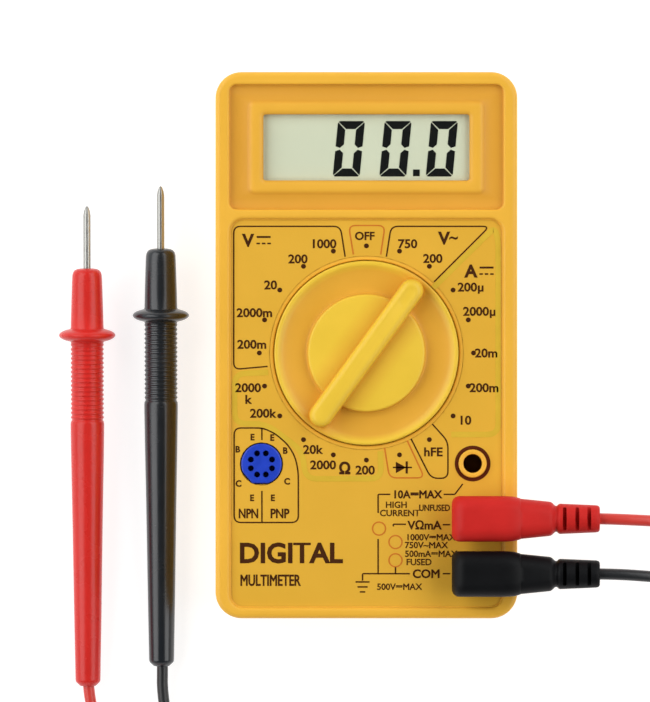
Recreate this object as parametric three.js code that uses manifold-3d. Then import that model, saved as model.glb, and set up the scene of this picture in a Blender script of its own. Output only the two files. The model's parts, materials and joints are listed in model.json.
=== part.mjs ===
// Pocket digital multimeter with its two test leads.
// Millimetres. The meter lies on its back: +X to its right, +Y to its display end, +Z out of its face.
// The origin is the centre of the back face. Each lead lies beside the meter, on the same surface.

import * as THREE from 'three';
import { mergeVertices } from 'three/addons/utils/BufferGeometryUtils.js';
import Module from 'manifold-3d';

const wasm = await Module();
wasm.setup();

// ---- Driving dimensions ----

const GAP = 0.3; // clearance between pieces that touch

const CASE = { width: 69.6, length: 126, height: 25, corner: 6, wall: 1.8, crown: 1.2, split: 11 };
const LIP = { skirt: 0.75, height: 1.7 };
const PANEL = { underside: 22, floor: 23.4 };

const DISPLAY = { y: 45.7, width: 63.2, length: 28.8, corner: 1.7, floor: 23.6 };
const FRAME = { width: 54, length: 21, corner: 1.2, top: 24.3 };
const WINDOW = { y: 45.6, width: 47.5, length: 15.2, corner: 0.6, low: 22.7, high: 23.7 };
const LCD = { y: 44.3, width: 54, length: 25.8, low: 20.2, high: 22.4 };
const STRIP = { low: 29.1, high: 31.3, top: 24.7 };

const LABEL = { y: -15.7, width: 62.8, length: 89.6, corner: 3, low: 23.7, high: 24 };

const KNOB = { y: -1.8, opening: 21.5, radius: 21.2, flange: 23.2, pointing: -36 };
const KNOB_Z = { stub: 16.3, bottom: 18.6, flange: 21.7, dish: 23.8, rim: 24.9, hub: 25.6, bar: 28.5 };
const BAR = { width: 5.2, length: 40.6, bevel: 0.6 };
const DETENT = { count: 20, inner: 24.9, depth: 0.25, outer: 26.6, low: 18.2 };
const BALL = { radius: 1.1, bore: 1.4, reach: 22.95, z: 20.2 };
const SPRING = { wire: 0.16, radius: 1.0, start: 15.6, end: 21.3, turns: 6 };
const WIPER = { radii: [9, 13, 17], width: 1.2, sweep: 0.7, low: 17.9, high: 18.3 };

const SOCKET = { x: -24.2, y: -27.4, radius: 4.7, holes: 8, circle: 2.64, hole: 0.58, low: 17.9, high: 24.3 };

const JACK = { x: 24.5, rows: [-27.3, -40, -52.7], bore: 2.15, collar: 3.24, top: 25, guide: 4.2 };
const SLEEVE = { bore: 2.15, radius: 2.7, low: 5, high: 22.7, flange: 4.2 };

const BOARD = { width: 63.6, low: 16, high: 17.6, bottom: -59, top: 33 };
const CASE_POSTS = [[0, 27.2], [0, -56]];
const CASE_POST = { radius: 2.6, pilot: 1.55, low: 8.3, deep: 17 };
const BOSS = { radius: 4.4, head: 3.1, shank: 1.55, ledge: 5, top: 8 };
const BOARD_POSTS = [[-28.5, 24], [28.5, 24], [-28.5, -45]];
const BOARD_POST = { radius: 2.2, pilot: 1.2, deep: 21.5 };

const BATTERY = { x: -3.3, y: 46.9, width: 46.4, length: 26.2, low: 2.1, high: 19.6 };

const PLUG = { left: 19.65, shoulder: 35.4, nose: 42.6, relief: 44.2, end: 53.75 };
const PLUG_SIZE = { half: 5.25, slim: 3.9, neck: 2.8, low: 25.3, high: 35.9, axis: 30.6 };
const PIN = { radius: 1.85, low: 8, high: 29 };

const CORD = { radius: 1.3, sides: 8, step: 6 };
const COIL = { inner: 9.6, outer: 18, low: 0.9, high: 6.2 };
const TIE = { width: 3, thickness: 0.5 };

const PROBE = { tail: -81.3, flange: 6.55, tail_radius: 2.9, grip_end: -19.7, head: 15.5, tip: 29.9 };
const PROBE_RADII = { grip: 3.75, body: 3.9, head: 3.35, bore: 1.15, needle: 0.85 };

// Each lead runs from its plug down to the table, round its coil, and along the table to its probe.
// Points are X, Y, Z, chosen by hand. The coil's turns lie between the two lists.
const LEADS = [
  {
    colour: 'red',
    tint: 0xc82a26,
    jack: JACK.rows[1],
    coil: [103.6, -118],
    probe: { x: -64.6, y: 2.3 },
    toCoil: [
      [54.05, -40.0, 30.6],
      [60.0, -40.2, 30.5],
      [67.9, -40.6, 28.7],
      [74.2, -40.9, 23.6],
      [77.8, -41.1, 16.0],
      [81.2, -41.2, 8.7],
      [87.5, -41.3, 3.3],
      [97.0, -41.5, 1.4],
      [105.8, -43.2, 1.35],
      [113.3, -48.2, 1.35],
      [118.2, -55.7, 1.35],
      [120.0, -64.5, 1.35],
      [120.2, -79.0, 1.35],
      [120.1, -94.0, 1.4],
      [120.0, -107.4, 2.0],
    ],
    toProbe: [
      [93.0, -134.4, 3.2],
      [80.0, -133.2, 1.5],
      [66.0, -128.6, 1.35],
      [52.0, -121.6, 1.35],
      [38.0, -114.6, 1.35],
      [22.0, -108.6, 1.35],
      [4.0, -104.6, 1.35],
      [-14.0, -102.4, 1.35],
      [-32.0, -101.4, 1.35],
      [-45.3, -100.4, 1.35],
      [-54.0, -97.6, 1.4],
      [-60.2, -91.6, 1.7],
      [-63.4, -84.4, 2.3],
      [-64.28, -79.35, 2.75],
    ],
  },
  {
    colour: 'black',
    tint: 0x17181a,
    jack: JACK.rows[2],
    coil: [95.6, -78.6],
    probe: { x: -47.55, y: 6.9 },
    toCoil: [
      [54.05, -52.7, 30.6],
      [60.0, -52.9, 30.5],
      [67.9, -53.5, 28.7],
      [74.2, -54.0, 23.6],
      [77.8, -54.2, 16.0],
      [81.2, -54.3, 8.7],
      [87.5, -54.4, 3.3],
      [96.0, -54.6, 1.4],
      [103.4, -56.0, 1.35],
      [109.4, -60.6, 1.5],
      [112.0, -68.1, 2.0],
    ],
    toProbe: [
      [85.0, -95.0, 3.2],
      [70.0, -95.6, 1.5],
      [52.0, -96.4, 1.35],
      [34.0, -96.2, 1.35],
      [16.0, -95.5, 1.35],
      [-2.0, -95.2, 1.35],
      [-20.0, -95.6, 1.35],
      [-33.5, -95.2, 1.35],
      [-41.2, -92.8, 1.4],
      [-45.8, -87.0, 1.8],
      [-47.15, -80.0, 2.3],
      [-47.22, -74.65, 2.75],
    ],
  },
];

// ---- Solids ----

// Turns a closed geometry into a solid that can be joined and cut.
function toSolid(geometry) {
  const bare = geometry.clone();
  bare.deleteAttribute('normal');
  bare.deleteAttribute('uv');
  const merged = mergeVertices(bare, 1e-4);
  const index = merged.index.array;
  const triangles = [];
  for (let i = 0; i < index.length; i += 3) {
    const [a, b, c] = [index[i], index[i + 1], index[i + 2]];
    if (a !== b && b !== c && c !== a) {
      triangles.push(a, b, c);
    }
  }
  const mesh = new wasm.Mesh({
    numProp: 3,
    vertProperties: new Float32Array(merged.attributes.position.array),
    triVerts: new Uint32Array(triangles),
  });
  return new wasm.Manifold(mesh);
}

function toGeometry(solid) {
  const mesh = solid.getMesh();
  const geometry = new THREE.BufferGeometry();
  geometry.setAttribute('position', new THREE.BufferAttribute(mesh.vertProperties, 3));
  geometry.setIndex(new THREE.BufferAttribute(mesh.triVerts, 1));
  return geometry;
}

function joined(first, ...others) {
  return others.reduce((solid, geometry) => solid.add(toSolid(geometry)), first);
}

function cut(first, ...others) {
  return others.reduce((solid, geometry) => solid.subtract(toSolid(geometry)), first);
}

// ---- Shapes ----

function roundedRectangle(width, length, radius, x = 0, y = 0) {
  const right = width / 2 - radius;
  const top = length / 2 - radius;
  const shape = new THREE.Shape();
  shape.absarc(x + right, y + top, radius, 0, Math.PI / 2);
  shape.absarc(x - right, y + top, radius, Math.PI / 2, Math.PI);
  shape.absarc(x - right, y - top, radius, Math.PI, 1.5 * Math.PI);
  shape.absarc(x + right, y - top, radius, 1.5 * Math.PI, 2 * Math.PI);
  shape.closePath();
  return shape;
}

function circlePoints(radius, sides, x = 0, y = 0) {
  const points = [];
  for (let i = 0; i < sides; i += 1) {
    const angle = (2 * Math.PI * i) / sides;
    points.push(new THREE.Vector2(x + radius * Math.cos(angle), y + radius * Math.sin(angle)));
  }
  return points;
}

function polygon(corners) {
  return new THREE.Shape(corners.map(([x, y]) => new THREE.Vector2(x, y)));
}

// ---- Geometries, with their axis along Z ----

function slab(shape, low, high, curveSegments = 4) {
  const depth = high - low;
  const geometry = new THREE.ExtrudeGeometry(shape, { depth, bevelEnabled: false, curveSegments });
  geometry.translate(0, 0, low);
  return geometry;
}

function softSlab(shape, low, high, bevel, curveSegments = 4, bevelSegments = 2) {
  const geometry = new THREE.ExtrudeGeometry(shape, {
    depth: high - low - 2 * bevel,
    bevelThickness: bevel,
    bevelSize: bevel,
    bevelOffset: -bevel,
    bevelSegments,
    curveSegments,
  });
  geometry.translate(0, 0, low + bevel);
  return geometry;
}

function block(x0, x1, y0, y1, z0, z1) {
  const geometry = new THREE.BoxGeometry(x1 - x0, y1 - y0, z1 - z0);
  geometry.translate((x0 + x1) / 2, (y0 + y1) / 2, (z0 + z1) / 2);
  return geometry;
}

function cylinder(radius, low, high, x = 0, y = 0, sides = 20) {
  const geometry = new THREE.CylinderGeometry(radius, radius, high - low, sides);
  geometry.rotateX(Math.PI / 2);
  geometry.translate(x, y, (low + high) / 2);
  return geometry;
}

// A profile of [radius, height] pairs, turned about Y as LatheGeometry does.
function turned(profile, sides) {
  return new THREE.LatheGeometry(profile.map(([r, y]) => new THREE.Vector2(r, y)), sides);
}

function turnedAboutZ(profile, sides) {
  return turned(profile, sides).rotateX(Math.PI / 2);
}

function tube(points, radius, sides, steps) {
  const path = new THREE.CatmullRomCurve3(points.map((p) => new THREE.Vector3(...p)));
  const section = new THREE.Shape(circlePoints(radius, sides));
  const count = steps ?? Math.ceil(path.getLength() / CORD.step);
  return new THREE.ExtrudeGeometry(section, { steps: count, bevelEnabled: false, extrudePath: path });
}

// ---- The model ----

const meter = new THREE.Group();

function surface(color, roughness = 0.5, metalness = 0) {
  return new THREE.MeshStandardMaterial({ color, roughness, metalness });
}

function add(name, geometry, material, position = [0, 0, 0], parent = meter) {
  const mesh = new THREE.Mesh(geometry, material);
  mesh.name = name;
  mesh.position.set(...position);
  parent.add(mesh);
  return mesh;
}

const COLOURS = {
  shell: 0xf0b23c,
  label: 0xe2b03c,
  knob: 0xecc442,
  steel: 0xb8bcc0,
  brass: 0xc9a24a,
  copper: 0xb87333,
  board: 0x1f6b3a,
};

// ---- Case ----

function caseOutline(inset) {
  const { width, length, corner } = CASE;
  return roundedRectangle(width - 2 * inset, length - 2 * inset, corner - inset);
}

function caseBlock() {
  return toSolid(softSlab(caseOutline(0), 0, CASE.height, CASE.crown, 4, 2));
}

// The notched ring under the panel that the detent balls click into.
function detentRing() {
  const { count, inner, depth, outer, low } = DETENT;
  const ring = new THREE.Shape(circlePoints(outer, 40, 0, KNOB.y));
  const notches = new THREE.Path();
  const samples = count * 4;
  for (let i = 0; i < samples; i += 1) {
    const angle = (2 * Math.PI * i) / samples;
    const fromPointer = angle - THREE.MathUtils.degToRad(90 + KNOB.pointing);
    const radius = inner + depth * Math.cos(count * fromPointer);
    const x = radius * Math.cos(angle);
    const y = KNOB.y + radius * Math.sin(angle);
    if (i === 0) {
      notches.moveTo(x, y);
    } else {
      notches.lineTo(x, y);
    }
  }
  notches.closePath();
  ring.holes.push(notches);
  return slab(ring, low, PANEL.underside + 0.5);
}

function frontCase() {
  const top = CASE.height + 1;
  const bottom = CASE.split + GAP / 2;
  const inside = PANEL.underside;
  let body = cut(caseBlock(), block(-50, 50, -80, 80, -1, bottom));
  body = cut(body, slab(caseOutline(CASE.wall), 0, inside));
  body = cut(body, slab(caseOutline(LIP.skirt), 0, bottom + LIP.height + GAP));
  body = cut(
    body,
    slab(roundedRectangle(DISPLAY.width, DISPLAY.length, DISPLAY.corner, 0, DISPLAY.y), DISPLAY.floor, top),
    slab(roundedRectangle(LABEL.width, LABEL.length, LABEL.corner, 0, LABEL.y), PANEL.floor, top),
    block(-DISPLAY.width / 2, DISPLAY.width / 2, STRIP.low - 0.5, STRIP.high + 0.5, STRIP.top, top),
  );
  const frame = roundedRectangle(FRAME.width, FRAME.length, FRAME.corner, 0, WINDOW.y);
  body = joined(body, softSlab(frame, DISPLAY.floor - 1, FRAME.top, 0.4, 3, 1), detentRing());
  for (const [x, y] of CASE_POSTS) {
    body = joined(body, cylinder(CASE_POST.radius, CASE_POST.low, inside + 0.5, x, y, 12));
    body = cut(body, cylinder(CASE_POST.pilot, 0, CASE_POST.deep, x, y, 10));
  }
  for (const [x, y] of BOARD_POSTS) {
    body = joined(body, cylinder(BOARD_POST.radius, BOARD.high + GAP, inside + 0.5, x, y, 10));
    body = cut(body, cylinder(BOARD_POST.pilot, 0, BOARD_POST.deep, x, y, 8));
  }
  for (const y of JACK.rows) {
    body = joined(
      body,
      cylinder(JACK.guide, BOARD.high + 0.6, PANEL.floor - 0.2, JACK.x, y, 18),
      cylinder(JACK.collar, PANEL.floor - 0.5, JACK.top, JACK.x, y, 18),
    );
    body = cut(
      body,
      cylinder(SLEEVE.radius + GAP, 0, SLEEVE.high + GAP, JACK.x, y, 18),
      cylinder(JACK.bore, 0, top, JACK.x, y, 18),
    );
  }
  const rebate = [LCD.width / 2 + GAP, LCD.y - LCD.length / 2 - GAP, LCD.y + LCD.length / 2 + GAP];
  return cut(
    body,
    block(-rebate[0], rebate[0], rebate[1], rebate[2], inside - 1, LCD.high + GAP),
    slab(roundedRectangle(WINDOW.width, WINDOW.length, WINDOW.corner, 0, WINDOW.y), inside - 1, top, 3),
    cylinder(KNOB.opening, inside - 1, top, 0, KNOB.y, 48),
    cylinder(SOCKET.radius + GAP, inside - 1, top, SOCKET.x, SOCKET.y, 18),
  );
}

function rearCase() {
  const rim = CASE.split - GAP / 2;
  const tongue = caseOutline(LIP.skirt + GAP);
  tongue.holes.push(caseOutline(CASE.wall));
  let body = cut(caseBlock(), block(-50, 50, -80, 80, rim, CASE.height + 1));
  body = cut(body, slab(caseOutline(CASE.wall), CASE.wall, CASE.height));
  body = joined(body, slab(tongue, rim - 1, rim + LIP.height));
  const bayWall = BATTERY.y - BATTERY.length / 2 - 2 * GAP;
  body = joined(body, block(-26, -6, bayWall - 1.2, bayWall, CASE.wall - 0.5, 9));
  body = joined(body, block(6, 26, bayWall - 1.2, bayWall, CASE.wall - 0.5, 9));
  for (const [x, y] of CASE_POSTS) {
    body = joined(body, cylinder(BOSS.radius, 0.5, BOSS.top, x, y));
    body = cut(body, cylinder(BOSS.head, -1, BOSS.ledge, x, y), cylinder(BOSS.shank, 0, 9, x, y, 12));
  }
  return body;
}

// A pan-head screw with a cross slot, its head at the low end.
function screw(headRadius, headHeight, shankRadius, length, slot) {
  const profile = [
    [0, 0],
    [headRadius * 0.8, 0],
    [headRadius, headHeight * 0.4],
    [headRadius, headHeight],
    [shankRadius, headHeight],
    [shankRadius, length - shankRadius],
    [0, length],
  ];
  const body = toSolid(turnedAboutZ(profile, 14));
  const half = headRadius * 0.6;
  return toGeometry(
    cut(
      body,
      block(-half, half, -slot / 2, slot / 2, -1, headHeight / 2),
      block(-slot / 2, slot / 2, -half, half, -1, headHeight / 2),
    ),
  );
}

add('front_case', toGeometry(frontCase()), surface(COLOURS.shell, 0.45));
add('rear_case', toGeometry(rearCase()), surface(COLOURS.shell, 0.45));
CASE_POSTS.forEach(([x, y], i) => {
  const head = 2;
  const seat = BOSS.ledge - GAP - head;
  add(`case_screw_${i + 1}`, screw(2.75, head, 1.25, 13, 0.6), surface(COLOURS.steel, 0.35, 0.9), [x, y, seat]);
});

// ---- Face ----

function faceLabel() {
  const shape = roundedRectangle(LABEL.width - 2 * GAP, LABEL.length - 2 * GAP, LABEL.corner - GAP, 0, LABEL.y);
  shape.holes.push(new THREE.Path(circlePoints(KNOB.opening + 0.9, 48, 0, KNOB.y)));
  shape.holes.push(new THREE.Path(circlePoints(SOCKET.radius + GAP, 24, SOCKET.x, SOCKET.y)));
  for (const y of JACK.rows) {
    shape.holes.push(new THREE.Path(circlePoints(JACK.collar + GAP, 24, JACK.x, y)));
  }
  return slab(shape, LABEL.low, LABEL.high);
}

function windowPane() {
  const { width, length, corner, y, low, high } = WINDOW;
  const pane = roundedRectangle(width - 2 * GAP, length - 2 * GAP, corner - GAP, 0, y);
  return slab(pane, low, high, 3);
}

add('face_label', faceLabel(), surface(COLOURS.label, 0.5));
add('display_window', windowPane(), surface(0xdfe6dc, 0.1));

// ---- Display ----

const lcdBottom = LCD.y - LCD.length / 2;
const lcdTop = LCD.y + LCD.length / 2;
const lcdSide = LCD.width / 2;
const glassSplit = (LCD.low + LCD.high) / 2;
const lcdLedge = 1.6;
const rearGlass = toSolid(block(-lcdSide, lcdSide, lcdBottom, lcdTop, LCD.low, glassSplit));
const frontGlass = block(-lcdSide, lcdSide, lcdBottom + lcdLedge, lcdTop, glassSplit - 0.1, LCD.high);
const zebra = block(-23, 23, lcdBottom + 0.2, lcdBottom + 1.7, BOARD.high + GAP, LCD.low - GAP);

add('lcd_glass', toGeometry(joined(rearGlass, frontGlass)), surface(0xc8d0b4, 0.3));
add('contact_strip', zebra, surface(0x303236, 0.8));

// ---- Range selector ----

// The knob's own solid, about its axis, with its bar along +Y.
function knobSolid() {
  const { bottom, flange, dish, rim, hub, bar, stub } = KNOB_Z;
  const profile = [
    [0, stub],
    [2, stub],
    [2, bottom],
    [KNOB.flange, bottom],
    [KNOB.flange, flange],
    [KNOB.radius, flange],
    [KNOB.radius, rim - 0.3],
    [KNOB.radius - 0.3, rim],
    [KNOB.radius - 1.1, rim],
    [KNOB.radius - 1.8, rim - 0.5],
    [17.5, dish + 0.15],
    [15.2, dish],
    [13.8, dish + 0.7],
    [13.2, hub - 0.4],
    [12.2, hub],
    [0, hub + 0.2],
  ];
  const capsule = roundedRectangle(BAR.width, BAR.length, BAR.width / 2 - 0.05);
  let body = joined(toSolid(turnedAboutZ(profile, 40)), softSlab(capsule, dish - 1, bar, BAR.bevel, 6, 2));
  const pocket = block(-1.3, 1.3, BAR.length / 2 - 7, BAR.length / 2 - 2.4, bar - 0.5, bar + 1);
  body = cut(body, pocket);
  for (const side of [-1, 1]) {
    const bore = new THREE.CylinderGeometry(BALL.bore, BALL.bore, 9, 12);
    bore.rotateZ(Math.PI / 2);
    bore.translate(side * (SPRING.start - GAP + 4.5), 0, BALL.z);
    body = cut(body, bore);
  }
  return body;
}

class Helix extends THREE.Curve {
  constructor(radius, start, end, turns) {
    super();
    Object.assign(this, { radius, start, end, turns });
  }

  getPoint(t) {
    const angle = 2 * Math.PI * this.turns * t;
    const along = this.start + (this.end - this.start) * t;
    return new THREE.Vector3(along, this.radius * Math.cos(angle), this.radius * Math.sin(angle));
  }
}

function springGeometry() {
  const path = new Helix(SPRING.radius, SPRING.start, SPRING.end, SPRING.turns);
  const section = new THREE.Shape(circlePoints(SPRING.wire, 4));
  return new THREE.ExtrudeGeometry(section, { steps: SPRING.turns * 8, bevelEnabled: false, extrudePath: path });
}

// A curved sliding contact that bridges two tracks of the board.
function wiperGeometry(radius) {
  const { width, sweep, low, high } = WIPER;
  const shape = new THREE.Shape();
  shape.absarc(0, 0, radius + width / 2, -sweep / 2, sweep / 2, false);
  shape.absarc(0, 0, radius - width / 2, sweep / 2, -sweep / 2, true);
  shape.closePath();
  return slab(shape, low, high, 6);
}

const selector = new THREE.Group();
selector.position.set(0, KNOB.y, 0);
selector.rotation.z = THREE.MathUtils.degToRad(KNOB.pointing);
meter.add(selector);
add('selector_knob', toGeometry(knobSolid()), surface(COLOURS.knob, 0.45), [0, 0, 0], selector);
for (const [i, side] of [-1, 1].entries()) {
  const ball = new THREE.SphereGeometry(BALL.radius, 12, 8);
  add(`detent_ball_${i + 1}`, ball, surface(COLOURS.steel, 0.2, 1), [side * BALL.reach, 0, BALL.z], selector);
  const spring = add(`detent_spring_${i + 1}`, springGeometry(), surface(COLOURS.steel, 0.3, 1), [0, 0, BALL.z], selector);
  spring.rotation.z = side < 0 ? Math.PI : 0;
}
WIPER.radii.forEach((radius, i) => {
  const wiper = add(`wiper_contact_${i + 1}`, wiperGeometry(radius), surface(COLOURS.brass, 0.3, 1), [0, 0, 0], selector);
  wiper.rotation.z = (2 * Math.PI * i) / WIPER.radii.length;
});

// ---- Transistor socket and jacks ----

// Round, with a flat at the bottom and a corner cut at the lower left.
function socketGeometry() {
  const { radius, holes, circle, hole, low, high } = SOCKET;
  const flat = THREE.MathUtils.degToRad(62);
  const shape = new THREE.Shape();
  shape.absarc(0, 0, radius, -flat, Math.PI + 0.5, false);
  shape.lineTo(radius * Math.cos(-flat - 1.05), radius * Math.sin(-flat));
  shape.closePath();
  for (let i = 0; i < holes; i += 1) {
    const angle = (2 * Math.PI * (i + 0.5)) / holes;
    const [x, y] = [circle * Math.cos(angle), circle * Math.sin(angle)];
    shape.holes.push(new THREE.Path(circlePoints(hole, 8, x, y)));
  }
  return slab(shape, low, high, 14);
}

const sleeveProfile = [
  [SLEEVE.bore, SLEEVE.low],
  [SLEEVE.radius, SLEEVE.low],
  [SLEEVE.radius, BOARD.low - GAP - 1.2],
  [SLEEVE.flange, BOARD.low - GAP - 1.2],
  [SLEEVE.flange, BOARD.low - GAP],
  [SLEEVE.radius, BOARD.low - GAP],
  [SLEEVE.radius, SLEEVE.high],
  [SLEEVE.bore, SLEEVE.high],
  [SLEEVE.bore, SLEEVE.low],
];

add('transistor_socket', socketGeometry(), surface(0x2346cc, 0.35), [SOCKET.x, SOCKET.y, 0]);
['10a', 'volt_ohm', 'common'].forEach((name, i) => {
  const sleeve = turnedAboutZ(sleeveProfile, 16);
  add(`jack_sleeve_${name}`, sleeve, surface(COLOURS.brass, 0.3, 1), [JACK.x, JACK.rows[i], 0]);
});

// ---- Circuit board and what it carries ----

function boardGeometry() {
  const length = BOARD.top - BOARD.bottom;
  const shape = roundedRectangle(BOARD.width, length, 2.5, 0, (BOARD.top + BOARD.bottom) / 2);
  const holes = [
    ...CASE_POSTS.map(([x, y]) => [x, y, CASE_POST.radius + GAP]),
    ...BOARD_POSTS.map(([x, y]) => [x, y, 1.3]),
    ...JACK.rows.map((y) => [JACK.x, y, SLEEVE.radius + GAP]),
    [0, KNOB.y, 2.4],
  ];
  for (const [x, y, radius] of holes) {
    shape.holes.push(new THREE.Path(circlePoints(radius, 12, x, y)));
  }
  return slab(shape, BOARD.low, BOARD.high);
}

add('circuit_board', boardGeometry(), surface(COLOURS.board, 0.6));
BOARD_POSTS.forEach(([x, y], i) => {
  const head = 1.5;
  const seat = BOARD.low - GAP - head;
  add(`board_screw_${i + 1}`, screw(2.1, head, 0.9, 6.5, 0.5), surface(COLOURS.steel, 0.35, 0.9), [x, y, seat]);
});

// Everything below hangs from the board's back, so its height is counted down from there.
const UNDER = BOARD.low - GAP;

const chipProfile = [[0, -2.2], [2.6, -2.0], [4.6, -1.4], [5.8, -0.5], [6, 0], [0, 0]];
add('chip_blob', turnedAboutZ(chipProfile, 24), surface(0x101012, 0.4), [-9, 8, UNDER]);

const trimmerSlot = block(-1.2, 1.2, -0.3, 0.3, -6, -4.6);
const trimmer = joined(toSolid(block(-3.3, 3.3, -3.3, 3.3, -4.4, 0)), cylinder(2, -5, -4));
add('trimmer', toGeometry(cut(trimmer, trimmerSlot)), surface(0x2f62b8, 0.5), [16, 16, UNDER]);

const electrolytic = new THREE.CylinderGeometry(2.5, 2.5, 7, 16);
add('capacitor_1', electrolytic, surface(0x20242c, 0.4), [22, -8, UNDER - 2.6]);
[[-20, -12], [-20, -20]].forEach(([x, y], i) => {
  const film = softSlab(roundedRectangle(7.2, 3.2, 0.6), -6.5, 0, 0.3, 2, 1);
  add(`capacitor_${i + 2}`, film, surface(0xb8452c, 0.45), [x, y, UNDER]);
});

const resistorProfile = [[0, -3.2], [1.1, -3.1], [1.2, -2.0], [0.9, -1.6], [0.9, 1.6], [1.2, 2.0], [1.1, 3.1], [0, 3.2]];
[[8, -22], [8, -26.5], [8, -31]].forEach(([x, y], i) => {
  const resistor = turned(resistorProfile, 12).rotateZ(Math.PI / 2);
  add(`resistor_${i + 1}`, resistor, surface(0x8fb6c8, 0.5), [x, y, UNDER - 1.4]);
});

// Fuse in its two spring clips.
const FUSE = { x: -14, y: -50, z: 11, radius: 2.6, half: 10 };
const fuseProfile = [
  [0, -FUSE.half],
  [FUSE.radius, -FUSE.half],
  [FUSE.radius, 5.6 - FUSE.half],
  [FUSE.radius - 0.25, 5.6 - FUSE.half],
  [FUSE.radius - 0.25, FUSE.half - 5.6],
  [FUSE.radius, FUSE.half - 5.6],
  [FUSE.radius, FUSE.half],
  [0, FUSE.half],
];
add('fuse', turned(fuseProfile, 16).rotateZ(Math.PI / 2), surface(0xcfd4d6, 0.2, 0.4), [FUSE.x, FUSE.y, FUSE.z]);
const clipInner = FUSE.radius + GAP;
const clipOuter = clipInner + 0.5;
const clipBase = UNDER - FUSE.z;
const clipOutline = new THREE.Shape();
clipOutline.moveTo(clipBase, clipOuter);
clipOutline.lineTo(0.1, clipOuter);
clipOutline.absarc(0, 0, clipOuter, 0.5 * Math.PI, 0.8 * Math.PI, false);
clipOutline.absarc(0, 0, clipInner, 0.8 * Math.PI, 0.5 * Math.PI, true);
clipOutline.lineTo(clipBase - 0.5, clipInner);
clipOutline.lineTo(clipBase - 0.5, -clipInner);
clipOutline.absarc(0, 0, clipInner, 1.5 * Math.PI, 1.2 * Math.PI, true);
clipOutline.absarc(0, 0, clipOuter, 1.2 * Math.PI, 1.5 * Math.PI, false);
clipOutline.lineTo(clipBase, -clipOuter);
clipOutline.closePath();
[-1, 1].forEach((side, i) => {
  const clip = slab(clipOutline, -1.6, 1.6, 4).rotateY(-Math.PI / 2);
  add(`fuse_clip_${i + 1}`, clip, surface(COLOURS.brass, 0.3, 1), [FUSE.x + side * 7.6, FUSE.y, FUSE.z]);
});

// The 10 A shunt: a thick wire arch between the 10 A and common jacks.
const [shuntHigh, shuntLow] = [JACK.rows[0] - 1, JACK.rows[2] + 1];
const shuntPath = [
  [18.6, shuntHigh, UNDER],
  [18.6, shuntHigh, UNDER - 3],
  [18.6, shuntHigh - 3, UNDER - 5],
  [18.6, (shuntHigh + shuntLow) / 2, UNDER - 5.4],
  [18.6, shuntLow + 3, UNDER - 5],
  [18.6, shuntLow, UNDER - 3],
  [18.6, shuntLow, UNDER],
];
add('shunt_wire', tube(shuntPath, 0.75, 6, 18), surface(COLOURS.copper, 0.3, 1));

// ---- Battery ----

function batteryGeometry() {
  const { width, length, low, high } = BATTERY;
  const middle = (low + high) / 2;
  const side = roundedRectangle(length, high - low, 2.4);
  const can = softSlab(side, -width / 2, width / 2, 0.5, 3, 1);
  let body = toSolid(can.rotateX(Math.PI / 2).rotateZ(Math.PI / 2));
  for (const y of [-6.35, 6.35]) {
    const terminal = new THREE.CylinderGeometry(y < 0 ? 4.0 : 2.9, y < 0 ? 4.0 : 2.9, 3, 16);
    body = joined(body, terminal.rotateZ(Math.PI / 2).translate(width / 2 + 0.6, y, 0));
  }
  return toGeometry(body).translate(0, 0, middle);
}

const snapX = BATTERY.x + BATTERY.width / 2 + 2.1 + GAP;
const snapZ = (BATTERY.low + BATTERY.high) / 2;
const snap = block(snapX, snapX + 3, BATTERY.y - 12.8, BATTERY.y + 12.8, snapZ - 6, snapZ + 6);
add('battery', batteryGeometry(), surface(0x3a5a8c, 0.4, 0.4), [BATTERY.x, BATTERY.y, 0]);
add('battery_snap', snap, surface(0x1a1a1c, 0.5));
[['red', 4], ['black', -4]].forEach(([colour, dy]) => {
  const start = snapX + 3 + GAP;
  const lift = dy / 3;
  const end = 28 - dy / 2;
  const path = [
    [start, BATTERY.y + dy, snapZ + lift],
    [start + 1.6, BATTERY.y + dy - 1, snapZ + lift],
    [start + 2.6, BATTERY.y + dy - 6, snapZ + lift],
    [start + 2.2, 36 + dy / 2, snapZ + lift],
    [end, 31, snapZ + lift],
    [end, 28.2, UNDER - 2],
    [end, 28, UNDER],
  ];
  const tint = colour === 'red' ? 0xb02020 : 0x141416;
  add(`battery_wire_${colour}`, tube(path, 0.6, 6, 14), surface(tint, 0.5));
});

// ---- Test leads ----

function plugSolid() {
  const { left, shoulder, nose, neck, relief, end } = PLUG;
  const { half, slim, low, high, axis } = PLUG_SIZE;
  const corner = 1.4;
  const outline = polygon([
    [left, -half + corner],
    [left + corner, -half],
    [shoulder, -half],
    [nose, -slim],
    [nose, slim],
    [shoulder, half],
    [left + corner, half],
    [left, half - corner],
  ]);
  const reliefProfile = [[0, nose - 1], [PLUG_SIZE.neck, nose - 1], [PLUG_SIZE.neck, relief], [3.5, relief]];
  const slots = 3;
  const pitch = 2.75;
  for (let i = 0; i < slots; i += 1) {
    const x = relief + 1 + i * pitch;
    const radius = 3.5 - 0.15 * i;
    reliefProfile.push([radius, x], [2.1, x], [2.1, x + 1], [radius - 0.05, x + 1]);
  }
  reliefProfile.push([3.05, end], [0, end]);
  const sleeve = turned(reliefProfile, 12).rotateZ(-Math.PI / 2).translate(0, 0, axis);
  const body = joined(toSolid(softSlab(outline, low, high, 1.2, 4, 2)), sleeve);
  const bore = cylinder(PIN.radius + GAP, low - 1, PIN.high + GAP, JACK.x, 0, 16);
  return cut(body, bore);
}

const pinProfile = [
  [0, PIN.low],
  [0.9, PIN.low + 0.2],
  [PIN.radius - 0.2, PIN.low + 1.8],
  [PIN.radius, PIN.low + 4],
  [PIN.radius, PIN.high],
  [0, PIN.high],
];

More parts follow.
